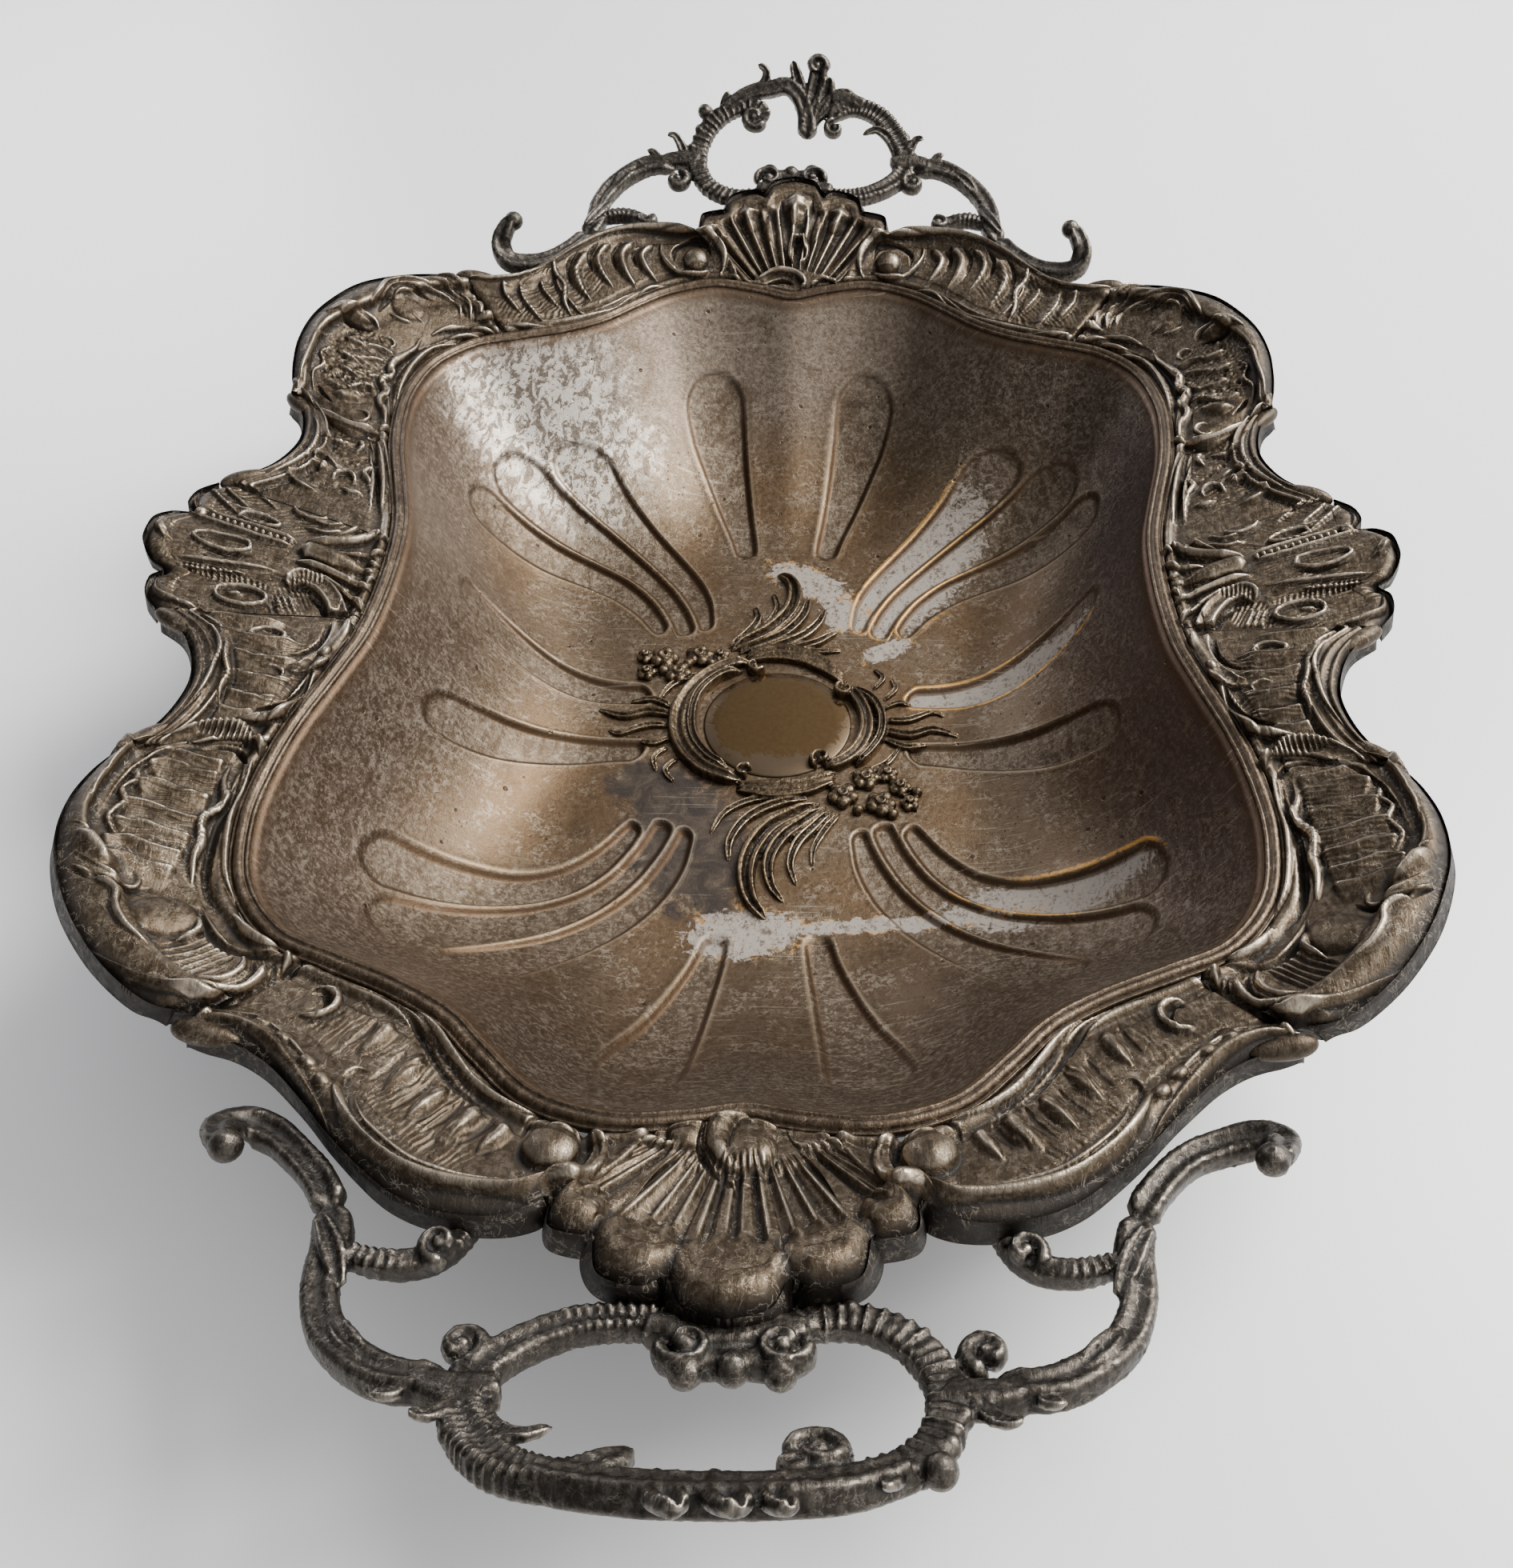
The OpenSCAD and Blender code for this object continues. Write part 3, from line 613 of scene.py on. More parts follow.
def struck_mount(name, ends, relief, columns, rows, bulge=(0, 0), roll=None, roll_wide=(1, 1), mirror=(1, 1),
                 lip_side=None, end_lift=(0.6, 0.6), end_drop=(1.4, 1.4), corner=(0, 0), horns=(0, 0)):
    """Closed struck sheet with chased relief on its face."""
    base, lip_gap, edge_gap, share = mount_patch(ends, bulge, columns, rows, corner)
    x, y = base[..., 0], base[..., 1]
    paper = Relief(x, y)
    relief(paper)
    plain = mount_patch(ends, bulge, columns, rows, (0, 0))[0]
    normal = np.cross(np.gradient(plain, axis=1), np.gradient(plain, axis=0))
    normal /= np.maximum(np.linalg.norm(normal, axis=-1), 1e-9)[..., None]
    normal *= np.sign(normal[..., 2:3] + 1e-9)
    wide = roll_wide[0] + (roll_wide[1] - roll_wide[0]) * ease((share - 0.35) / 0.35)
    shape = profile(edge_gap / wide, roll) + profile(lip_gap, lip_side)
    length = np.linalg.norm(base[-1] - base[0], axis=-1).mean()
    near_end = np.minimum(share, 1 - share) * length
    lift = np.where(share < 0.5, end_lift[0], end_lift[1])
    drop = np.where(share < 0.5, end_drop[0], end_drop[1])
    shape = shape + lift * np.exp(-((near_end - 1.6) / 1.3) ** 2) - drop * np.exp(-(near_end / 0.7) ** 2)
    calm = ease(edge_gap / 1.5) * ease(near_end / 1.0)
    height = shape + paper.height() * calm
    top = base + normal * height[..., None]
    back_height = np.where(height > 0, BACK_OF_RAISED, BACK_OF_SUNKEN) * height - MOUNT_SHEET
    under = base + normal * back_height[..., None]
    under[:, -1] = top[:, -1] + (0, 0, -LIP_RETURN)
    n = columns * rows
    faces = grid_faces(columns, rows)
    back = grid_faces(columns, rows, start=n)[:, ::-1]
    rim = []
    for j in range(rows - 1):
        rim.append((j, j + 1, n + j + 1, n + j))
        e = (columns - 1) * rows
        rim.append((e + j + 1, e + j, n + e + j, n + e + j + 1))
    for i in range(columns - 1):
        a, b = i * rows, (i + 1) * rows
        rim.append((b, a, n + a, n + b))
        a, b = a + rows - 1, b + rows - 1
        rim.append((a, b, n + b, n + a))
    quads = np.vstack([faces, back, np.array(rim)])
    points = np.vstack([top.reshape(-1, 3), under.reshape(-1, 3)])
    points[:, 0] -= TIP_DRAW_IN * np.maximum(points[:, 0] - TIP_START, 0)
    points *= (mirror[0], mirror[1], 1)
    if mirror[0] * mirror[1] > 0:
        quads = quads[:, ::-1]
    faces, spare = quads.tolist(), n
    for radius, at, behind in ((horns[0], ends[0] + 0.02, 0.4), (horns[1], ends[1] - 0.02, -0.3)):
        if radius:
            tip, root = edge_at(at), edge_at(at + behind)
            more, rounds = horn(tip, root, lip_at(at) - tip, radius)
            more = more * (mirror[0], mirror[1], 1)
            rounds = [f[::-1] for f in rounds] if mirror[0] * mirror[1] < 0 else rounds
            faces += [tuple(int(i) + len(points) for i in f) for f in rounds]
            points = np.vstack([points, more])
            spare += len(more)
    fine = blur(height, 6) - height
    broad = blur(height, 60) - height
    # Recess values: tarnish in the hollows of the relief; the dark band along the outer edge and the dark
    # back, with its outer return and the scroll ends, are tarnish together with painted shade and a painted
    # dark reflection.
    recess = 0.5 + 0.62 * fine + 0.3 * broad + 0.42 * np.exp(-(edge_gap / 2.2) ** 2)
    hollow = np.where(np.arange(spare) < n, 0.8, 0.62)
    return new_object(name, points, faces), np.concatenate([recess.ravel(), hollow])


# Cross-sections of the mounts: height against the distance from the outer edge, then from the lip side.
LOBE_ROLL = [(0, -3.2), (0.3, -1.8), (1.1, -0.3), (2.6, 0.9), (4.6, 1.9), (6.4, 2.3), (7.6, 1.9), (8.6, 0.2),
             (10, -0.5), (14, -0.6), (22, 0), (60, 0)]
VOLUTE_ROLL = [(0, -3.2), (0.3, -1.7), (1.1, -0.1), (2.4, 1), (3.6, 1.5), (4.8, 1.1), (6, 0.2), (8, -0.2),
               (12, 0), (60, 0)]
SCROLL_ROLL = [(0, -3.2), (0.3, -1.6), (0.9, 0.3), (1.7, 1.1), (2.4, 0.5), (3.1, 0.9), (3.8, 1.3), (4.6, 0.8),
               (5.3, 1.0), (6, 1.5), (6.8, 0.4), (8, -0.4), (12, 0), (60, 0)]
SHELL_ROLL = [(0, -3.4), (0.4, -2.2), (1.1, -1), (2.2, -0.1), (3.6, 0.3), (5.2, 0.2), (7, 0), (60, 0)]
BEAD_SIDE = [(0, -0.6), (0.4, 0.1), (1.1, 0.8), (1.9, 0.9), (2.7, 0.3), (3.2, -0.3), (5, -0.3), (8, 0),
             (60, 0)]
PLAIN_SIDE = [(0, -0.2), (0.6, 0.5), (1.5, 0.6), (3, 0.1), (60, 0)]


def lobe_far(p):
    """Knotted leaf field inside a smooth rolled edge; far corners."""
    p.grain(0.4, 1.5, 8, 109, 75, 8, 13)
    p.pebbles(0.6, 4, 109, 78, 8, 13, seed=3)
    p.ridge(2, 1.9, (95.6, 54), (98.4, 52.2), (102, 51.4), (106.4, 51.8), (110.4, 54), (114.4, 58),
            (117.6, 62))
    p.groove(1.2, 1, (98, 55), (103, 53.6), (108, 54.8), (112, 58.4))
    p.ridge(2.1, 1.9, (98.4, 56), (99.6, 61), (101.8, 66), (101, 70), (102.7, 74), (101, 77), (101.8, 80.6),
            (100.4, 85), (97.8, 91), (97, 95))
    p.groove(1.6, 1.4, (97.6, 60), (99.4, 68), (100, 76), (98.8, 85), (95.6, 92), (90, 98))
    p.ridge(1.3, 1.3, (96.4, 57), (97.6, 66), (98.2, 76), (97, 85.6), (93.8, 92.6), (87.6, 98))
    p.ring(2, 0.9, 1.1, 104.4, 57.8, 60, 330)
    p.soft(5.5, 1.7, (112, 63.4), (108, 64.4), (104.6, 66))
    p.fold_edge(4.4, 1.5, (114.6, 67.4), (111, 66), (108.4, 67), (106.4, 69.4), (103, 70), taper=(0.1, 0.1))
    p.groove(1.2, 1.5, (115.8, 65.8), (114, 63), (111.6, 60.6))
    p.fold_edge(3.6, 1.1, (112.6, 74), (109, 73), (105, 74), (102.6, 76), taper=(0.1, 0.1))
    p.fold_edge(3.6, 1.1, (114, 79), (110, 78.4), (106, 80.4), (102.6, 81), taper=(0.1, 0.1))
    p.fold_edge(3.8, 1.2, (113, 84.8), (109, 84), (105, 85.4), (101.6, 84.4), taper=(0.1, 0.1))
    p.ridge(1.1, 1.1, (118.6, 61), (119.7, 67), (119, 75), (118.6, 80), (115.6, 85))
    p.ridge(1, 1, (116.2, 63), (117.4, 69), (115.8, 73), (117, 77), (114.4, 81))
    p.ring(1.6, 0.8, 0.9, 104, 88.6, 20, 300)
    p.soft(5, 2, (116.6, 90.6), (112.4, 92.8), (108, 92.8))
    p.ridge(2, 1.8, (118.4, 88.4), (115.8, 91.8), (112, 94), (108, 94.4), (106.4, 92))
    p.groove(1.5, 2, (115, 90), (111.4, 90), (107.6, 90.8))
    p.ridge(1.5, 1.3, (109.6, 97), (108.2, 103), (107, 108), (103.2, 111.4), (97, 112.6))
    p.groove(1.8, 1.6, (107.4, 98), (106, 103.4), (104.6, 107.4), (101, 109.6), (96, 109.4))
    p.dome(4, 1.2, 101, 103)
    p.ridge(1.2, 1.2, (102, 107.4), (101.6, 104), (99.4, 101), (96.8, 100.2))
    p.ridge(1, 1, (105, 99), (102, 98), (99.4, 98.6))
    for k, w in enumerate((1.2, 1.3, 1.4, 1.4)):
        d = 2.5 * k
        p.ridge(w, 1.3, (98.6, 111.4 + d), (93.6, 112.2 + d), (89.6 - 0.9 * d, 110.4 + 0.7 * d),
                (88.6 - d, 106.6))
        p.groove(1.1, 1.1, (97, 112.6 + d), (92.6, 112.4 + d), (88.4 - 0.9 * d, 109.4 + 0.7 * d),
                 (87.4 - d, 106.6))
    p.ridge(2.6, 2, (85, 106.4), (82, 108.2), (79.6, 109.4), (78.4, 107))
    p.ridge(1.7, 1.5, (94.8, 97), (92, 100.4), (87.4, 103), (82.4, 103.6), (77.6, 102.4))
    p.ridge(1.2, 1.1, (91, 97.4), (87, 100), (83, 101.6))


def lobe_near(p):
    """Terraced shell folds inside a hatched scroll band; near corners."""
    p.grain(0.32, 1.1, 2, 109, 74, 8, 14)
    p.channel(4.4, 1.6, (97.4, 57.4), (97.2, 53.8), (100.4, 52), (104.6, 52.3), (108.6, 54), (112.4, 57.2),
              (115.8, 61.6), (117.8, 67), (118.2, 73), (117.6, 80), hollow=0.3, taper=(0.06, 0.5))
    p.hatch(0.7, 1, 84, 103.4, 52.4, 7.6, 2.3)
    p.groove(1.5, 2, (108.6, 58), (104.6, 56.2), (101.4, 56.6), (99.4, 59.8))
    p.groove(1.2, 1.1, (109.6, 58.6), (113.4, 62), (116, 67), (116.4, 73))
    for y, bend in ((60.8, 0.8), (64, 1), (69.8, 0.5), (75.8, -0.4), (80.4, 0.4), (84.8, 0.8), (88.8, 1.6)):
        p.fold_edge(5.2, 1.45, (115.2, y + bend), (111.6, y - 0.7), (107, y), (102.6, y - 0.3),
                    taper=(0.06, 0.08))
    p.ridge(1.3, 1.3, (113.6, 62.6), (115.8, 66.2), (114.8, 70), (116.3, 72.6), (114.7, 76), (115.8, 80),
            (113.4, 84), (111, 85.6))
    p.ridge(0.9, 0.7, (118.8, 68), (119.4, 74), (118.4, 81))
    p.ridge(2, 1.9, (101.9, 59.4), (102, 65), (100.6, 70), (102.6, 75.4), (101.4, 80.4), (101.2, 85),
            (99.6, 91))
    p.groove(1.5, 1.4, (100, 60), (99.6, 68), (100, 76), (98.8, 86), (96.6, 92), (93, 96))
    p.ridge(1.3, 1.4, (98.9, 58), (98.4, 66), (98.7, 73), (97.3, 82), (95.2, 88), (91.4, 93), (87.6, 96))
    p.ring(1.7, 0.8, 1, 106.6, 83.4, -60, 230)
    p.ring(3.1, 0.7, 0.7, 106.6, 83.6, 140, 300)
    p.soft(6.6, 1.9, (118.4, 87.8), (113.5, 90.6), (109.4, 92.6))
    p.ridge(0.9, 0.6, (120, 85.4), (115.6, 86.6), (110.6, 89.2), (107, 92.2), (107, 94.8), (110.4, 95.2),
            (114.4, 93.6), (118, 91.2))
    p.groove(1.7, 1.6, (116, 95.8), (111.6, 97), (107.4, 96.4), (104.6, 93.6))
    p.dome(4.8, 1.8, 100.8, 99.6)
    p.ridge(1.1, 1, (104.8, 96.6), (100.8, 97.2), (97.6, 100.4))
    p.ridge(1, 1, (105.6, 100), (101.6, 100.2), (98.6, 103.6))
    p.ridge(1.6, 1.7, (96.2, 97.6), (95.2, 101.4), (97.6, 104.6))
    p.ridge(1.3, 1.4, (116, 94.8), (112, 97.2), (108.4, 99.4), (107.2, 102.8), (104.6, 106), (100.4, 108.6))
    p.hatch(0.7, 1.4, 48, 93.6, 106, 5.2, 4.6, 20)
    p.ridge(1.4, 1.4, (87, 104.4), (86.2, 108), (88.6, 111.2), (93, 111.6))
    p.ridge(1.5, 1.5, (83.8, 104.4), (82.8, 109), (85.4, 113), (90.4, 114))
    p.ridge(2.1, 2.2, (80.8, 103.4), (79, 107.4), (79.4, 111.4), (83, 115), (89, 116.8), (96.4, 116.2),
            (104, 113), (110, 108.4), taper=(0.1, 0.5))
    p.groove(1.3, 1.5, (82.2, 104.6), (80.9, 109.4), (83.8, 113.6), (89, 115.4), (96, 114.6))
    p.groove(1.3, 1.4, (85.4, 104.8), (84.4, 109), (87.2, 112.4), (92, 113))
    p.ridge(1.8, 1.6, (91.8, 95.6), (88.6, 99.6), (84.4, 101.6), (80.8, 100.4), (79.4, 97.8))
    p.groove(2, 1.6, (97, 95), (93.6, 100.6), (88, 103.8), (81, 103))


def volute_far(p):
    """Rounded fronds swept along a scroll that winds round a boss; far end."""
    p.grain(0.3, 1.2, 118, 66, 122, 16, 8, -38)
    p.dome(3.6, 3.2, 27.6, 141.4)
    p.ridge(1.6, 2, (38, 147), (37.4, 142.4), (34.6, 138.4), (30.4, 136.2), (25.4, 136.6), (22.8, 139.6))
    p.ridge(2.4, 2.3, (20.6, 136.4), (19.4, 141.6), (22, 147), (27.4, 149.8), (34, 150), (41, 149.4))
    p.groove(1.6, 1.5, (23.4, 143), (25.4, 146.6), (30, 147.4), (34, 144.6), (34, 140.6))
    p.ridge(2.6, 2, (24, 149), (30.6, 151), (38.4, 150.6), (46.6, 149.4), (53.6, 146), (60, 140.6),
            (66.6, 134), (74, 127.6), (82, 123.4), taper=(0.1, 0.4))
    for x, y, drop, wide in ((41, 145.6, 11, 3.4), (46.6, 146, 15, 4.2), (53, 143, 14, 3.4),
                             (58.4, 138.6, 16, 4)):
        p.soft(wide, 1.9, (x - 1, y), (x + 2, y - 0.4 * drop), (x + 0.6, y - 0.8 * drop),
               (x - 3, y - 1.1 * drop), taper=(0.15, 0.35))
        p.groove(1.1, 1, (x + 2.4, y - 1), (x + 4.6, y - 0.4 * drop), (x + 3, y - 0.8 * drop))
    p.ridge(1.7, 1.8, (67, 134.4), (66, 129), (63, 124.6), (62.4, 118.6), (60, 114.6))
    for x, y, drop in ((79.4, 121.4, 9), (75, 122.4, 12), (69.6, 125.6, 9), (65.8, 128.4, 13)):
        p.fold_edge(3.4, 1.3, (x, y), (x - 0.12 * drop, y - 0.4 * drop), (x - 0.5 * drop, y - 0.85 * drop),
                    (x - 0.7 * drop, y - drop), taper=(0.1, 0.4))
    p.ridge(2.2, 1.8, (59, 111), (54.6, 112.4), (50, 115), (47.2, 119))
    p.ridge(1.8, 1.7, (46.8, 120.4), (43, 124.8), (40, 128.8), (35.6, 130.8), (30, 131.8), (25, 134))
    p.ridge(1.6, 1.4, (76.6, 106.8), (70.6, 107.2), (65.6, 108.2), (61, 110.6))
    p.groove(1.5, 1.3, (74, 109.6), (68, 110.4), (62, 113.4), (56, 116), (50.6, 119.4), (46, 124.6),
             (42, 130))
    p.ridge(1.8, 1.6, (91, 121.4), (84, 121), (77, 123.6), (72, 127.6), (67.6, 132.6))


def volute_near(p):
    """Soft pleats inside a broad scroll band that ends in a boss; near end."""
    p.grain(0.3, 1.3, 52, 50, 133, 15, 8, -48)
    p.grain(0.22, 1.4, 60, 69, 117, 9, 6, -40)
    p.dome(4.5, 3.6, 29.4, 140.4)
    p.ridge(2.8, 2, (25, 134.4), (21.6, 138.4), (21.2, 143.4), (24.4, 148.2), (30.6, 150.4), (38.4, 150),
            (46.4, 148.8), (53, 145.4), (58.8, 140.4), (62.6, 134.6), (64, 130), (62.4, 127), (59.2, 127.6))
    p.ridge(1.3, 1.3, (35, 146.6), (42, 146.6), (49.6, 144.6), (55.6, 140.4), (59.6, 135.4), (61, 131.4))
    p.groove(1.3, 1.3, (33, 148.2), (41, 148.4), (49.4, 146.6), (56, 142), (60.6, 136.4), (62.2, 131.6))
    p.groove(2, 1.5, (34.6, 138), (33.6, 134.6), (29.6, 133.4), (25.4, 135.6), (24, 140), (25.6, 144.6),
             (29.6, 147), (33.6, 146))
    for wide, route in ((4.4, ((37, 134.6), (38, 138), (40.6, 141.6))),
                        (5, ((42, 131.6), (43.6, 136), (46.8, 140.4))),
                        (4.4, ((47.6, 129), (49.4, 132.4), (52.4, 136.6))),
                        (5, ((53, 122.6), (54.4, 127), (57, 131))),
                        (4.6, ((59.4, 116), (60.4, 120), (62.8, 124)))):
        p.soft(wide, 1.5, *route, taper=(0.25, 0.4))
        (x, y), (x2, y2), (x3, y3) = route
        p.groove(1.7, 0.6, (x + 2.6, y - 1), (x2 + 2.6, y2 - 1.4), (x3 + 2.8, y3 - 1.4), taper=(0.2, 0.4))
    p.ring(3.5, 1.6, 1.7, 72.6, 113.4, 60, 290)
    p.groove(1.3, 1.3, (74, 111.4), (71.4, 111.6), (70.6, 114.6), (72, 117))
    for x, y in ((78.6, 119.2), (74.4, 123), (69.4, 127.4), (66, 131)):
        p.dome(1.7, 1.1, x, y)
    p.dome(2.4, 1.6, 89.4, 119.6)
    p.ridge(2, 1.6, (91, 121.2), (84, 120.8), (77.6, 123.6), (71.4, 129.4), (66.6, 135.4), (61.4, 143),
            (54, 149.4))
    p.ridge(1.1, 1, (86, 118.2), (79.6, 118.6), (76, 121.4), (72, 125), (68, 129))
    p.ridge(1.4, 1.3, (69, 107), (62, 109), (56, 112.8), (51.8, 118), (48.2, 123), (43.6, 128.2),
            (37.6, 131.8), (30, 133.2), taper=(0.1, 0.3))
    p.groove(1.4, 1.3, (68, 109.4), (62.6, 110.8), (57.6, 114.2), (53.8, 119), (50, 124.6), (45.4, 129.6),
             (39, 133.4))


def end_shell_near(p):
    """Ribs that spread to five bulging scallops, from a curled boss at the lip."""
    p.fan(1.2, 13, 0, 126, 17, 35, 46, 134)
    p.fan(0.45, 27, 0, 126, 15, 34, 40, 140)
    for side in (-1, 1):
        p.dome(6.6, 2.8, 13.8 * side, 160)
        p.dome(5.2, 2.4, 23.6 * side, 152.4)
        p.ridge(1.5, 1.2, (27 * side, 150.4), (21 * side, 141), (15.4 * side, 138), (9.4 * side, 138.4),
                (7 * side, 135))
        p.ridge(1.2, 1, (22 * side, 137), (15 * side, 134.4), (9 * side, 133))
    p.dome(3.6, 1.8, -8.4, 135.6)
    p.dome(8.6, 3.2, 0, 164.6)
    p.dome(4, 1.6, 1.6, 136)
    p.ridge(4, 3, (4.4, 131.6), (0, 131.4), (-3.4, 134), (-3.8, 138.6), (-1.6, 142.4), (1.8, 144),
            taper=(0.2, 0.5))
    p.dome(4.4, 2.6, 1.4, 139.4)
    p.groove(1.3, 1.4, (-6, 133), (-6.4, 139), (-3.8, 144), (0.4, 146.4), (4.4, 144.6))


def end_shell_far(p):
    """Deep ribs round a keyhole ring, rising to a tall middle scallop; far end."""
    p.fan(1.7, 12, 0, 124, 16, 37, 46, 134)
    p.fan(0.5, 24, 0, 124, 16, 37, 44, 136)
    for side in (-1, 1):
        p.soft(7, 1.8, (11.6 * side, 152), (14 * side, 161))
        p.soft(6, 1.4, (21 * side, 147), (24 * side, 153))
        p.soft(3.4, 1.4, (5.4 * side, 148), (7.4 * side, 158))
    p.soft(9, 2.8, (1, 155), (1, 166))
    p.groove(1.6, 1.2, (-3, 152), (-3.6, 163))
    p.groove(1.6, 1.2, (5, 152), (5.4, 163))
    p.ridge(1.4, 2.6, (1.4, 141.4), (-0.8, 145), (-0.4, 149.4), (1.6, 151.4), (3.6, 149.4), (4, 145),
            (1.6, 141.4))
    p.ridge(2, 2, (-10, 136.4), (-5.4, 139.4), (0.6, 139), (3.6, 136), (2.6, 133), (0, 132))
    p.ridge(1.6, 1.8, (6, 131.6), (6.2, 134.8), (9, 137), (12.4, 135.4), (11.6, 132.8))
    p.ridge(1.6, 1.6, (-20, 135.6), (-16.4, 136.4), (-13.8, 133))
    p.ridge(1.5, 1.5, (25, 134), (19, 135.6), (14, 134.6))
    p.groove(1.6, 1.6, (-8, 134.6), (-3, 136.4), (0.6, 135.4))


def side_shell_relief(p):
    """Fan of hatched leaf work with a beaded rib and horn-shaped scrolls at its root."""
    # Middle bump and its lens-shaped ring.
    p.grain(0.28, 1, 2, 118, 0, 14, 6)
    p.soft(9, 1.6, (133, -1), (131, 1))
    p.ridge(1, 1.1, (114.6, 1.6), (118, 2.4), (123.6, 2), (125.4, 0.2), (122.6, -1.6), (117.6, -2),
            (114.2, -0.6), (114.6, 1.6), taper=(0, 0))
    p.groove(1.1, 1, (124, -2.4), (118, -3), (113, -1.8))
    # Beaded rib.
    p.ridge(1.1, 1.5, (129, 10.2), (123, 9.2), (115, 7.8), (106, 5.8), taper=(0.1, 0.1))
    p.ridge(0.9, 1.2, (129, 7.8), (122, 6.4), (114, 4.8), (106.4, 3.8), taper=(0.1, 0.1))
    p.dome(1.5, 1.7, 126.6, 8.6)
    for k in range(12):
        p.dome(0.62, 1.5, 124 - 1.55 * k, 8.05 - 0.31 * k)
    # Far half: rings and slanting cuts.
    p.grain(0.35, 1.2, -22, 113, 16, 14, 8)
    p.ridge(1.1, 1.4, (119.4, 10.6), (118.4, 12.6), (114.6, 12.6), (111, 10.6), (112, 9.4), (116, 9.4),
            (119.4, 10.6), taper=(0, 0))
    p.ridge(1.1, 1.4, (109.8, 18.6), (108, 19), (104, 17.6), (102.4, 15.6), (105, 15), (108.6, 16.2),
            (109.8, 18.6), taper=(0, 0))
    for x, y in ((122, 24), (119, 25.4), (116, 25.4), (125, 20), (127.6, 18.4)):
        p.fold_edge(2.2, 1.3, (x, y), (x - 4.6, y - 4), (x - 9, y - 7.6), taper=(0.1, 0.5))
    p.ridge(1.5, 1.5, (128.4, 20), (130.2, 17), (129.4, 12.4), (127.6, 10.6))
    p.ridge(1, 1, (125, 16), (120, 14), (116, 14.4))
    p.ridge(1, 1, (100.6, 22), (97.4, 21), (95.6, 18))
    p.ridge(1.2, 1.3, (94.8, 24), (94.4, 19), (96, 14), (99.6, 10.8))
    for k in range(3):
        p.fold_edge(2.2, 1.2, (106, 12 + 3 * k), (101.6, 11 + 3 * k), (97.6, 13 + 3 * k))
    # Near half: hatched leaves and rings.
    p.grain(0.35, 1.1, 8, 115, -11, 14, 9)
    p.ridge(1.2, 1.2, (128.6, -6.6), (122, -6), (114, -5.2), (107, -4.6))
    p.ridge(0.9, 0.9, (127, -8.4), (120, -8), (113, -7))
    p.hatch(0.5, 1.1, 80, 117, -9, 9, 1.6, 6)
    p.ridge(1.1, 1.5, (117, -12.6), (113, -11.4), (108.6, -12.4), (107.6, -14.8), (111, -16.8),
            (115.6, -16.4), (117.4, -14.6), (117, -12.6), taper=(0, 0))
    p.ridge(0.8, 1, (115.6, -13.6), (112.4, -13.4))
    for k, r in enumerate((7, 10, 13)):
        p.fold_edge(2.2, 1.1, (101 + 0.4 * r, -8.6 - 0.2 * r), (100 + 0.2 * r, -12 - 0.6 * r),
                    (97.6, -14 - 0.55 * r))
    p.ridge(1.6, 1.5, (129.4, -12), (128, -17.6), (122, -19.6), (116, -22))
    p.hatch(0.45, 1, 60, 103, -13, 4, 6, 20)
    # Horn and strands at the root, then the C-scrolls.
    p.ridge(4.4, 2.8, (105, 3), (100, 2.4), (94.4, 1.2), (88.6, 0), taper=(0.12, 0.5))
    p.groove(1.2, 1.8, (104.6, 0.6), (99, -0.4), (93, -3), (88, -5))
    p.ridge(1.8, 2.2, (104.8, -1), (99, -2), (93, -4), (87.6, -6), taper=(0.2, 0.2))
    p.groove(1.1, 1.6, (104, -2.8), (98, -4), (92, -8), (88, -12.4))
    p.ridge(1.7, 2.2, (102, -3.6), (96.6, -5.6), (91, -9.4), (87.2, -13.8), taper=(0.2, 0.15))
    p.dome(1.3, 2, 87.6, -13.6)
    p.channel(4.2, 2.4, (104.4, -8.6), (102.6, -5.8), (98.4, -7), (94.6, -11), (92.4, -16), (91.4, -21),
              (92, -26), taper=(0.06, 0.3), hollow=0.35)
    p.hatch(0.6, 0.9, 80, 101, -6.4, 3.6, 2.2, 160)
    p.groove(1.4, 1.6, (101, -9.4), (96.6, -13), (94.6, -18), (94, -24))
    p.ridge(2.6, 2.4, (104.6, 6.8), (99, 7.8), (94.4, 9.8), (91.4, 13.4), (90.8, 18.6), (92.4, 25),
            taper=(0.15, 0.3))
    p.groove(1.4, 1.8, (104.6, 5.2), (98, 5.2), (92, 6.2))
    p.groove(1.4, 1.6, (99, 10), (95.6, 12), (93.8, 16), (94, 22))
    p.ridge(1.6, 1.8, (97.6, 5), (91.6, 5.4), (88, 7.2), (86.8, 10), (88.6, 12.6), (90.4, 11.4),
            taper=(0.3, 0.1))
    p.ridge(1.2, 1.2, (86.6, 3.6), (89, 2.4), (91, 4))
    p.ridge(1.2, 1.2, (86.4, -2.6), (88.6, -2), (89.6, -4))
    p.ridge(1.3, 1.2, (88.4, 14.6), (88, 18), (89, 20))
    p.ridge(1.3, 1.2, (88.6, -15.6), (88.2, -18), (89.4, -21))


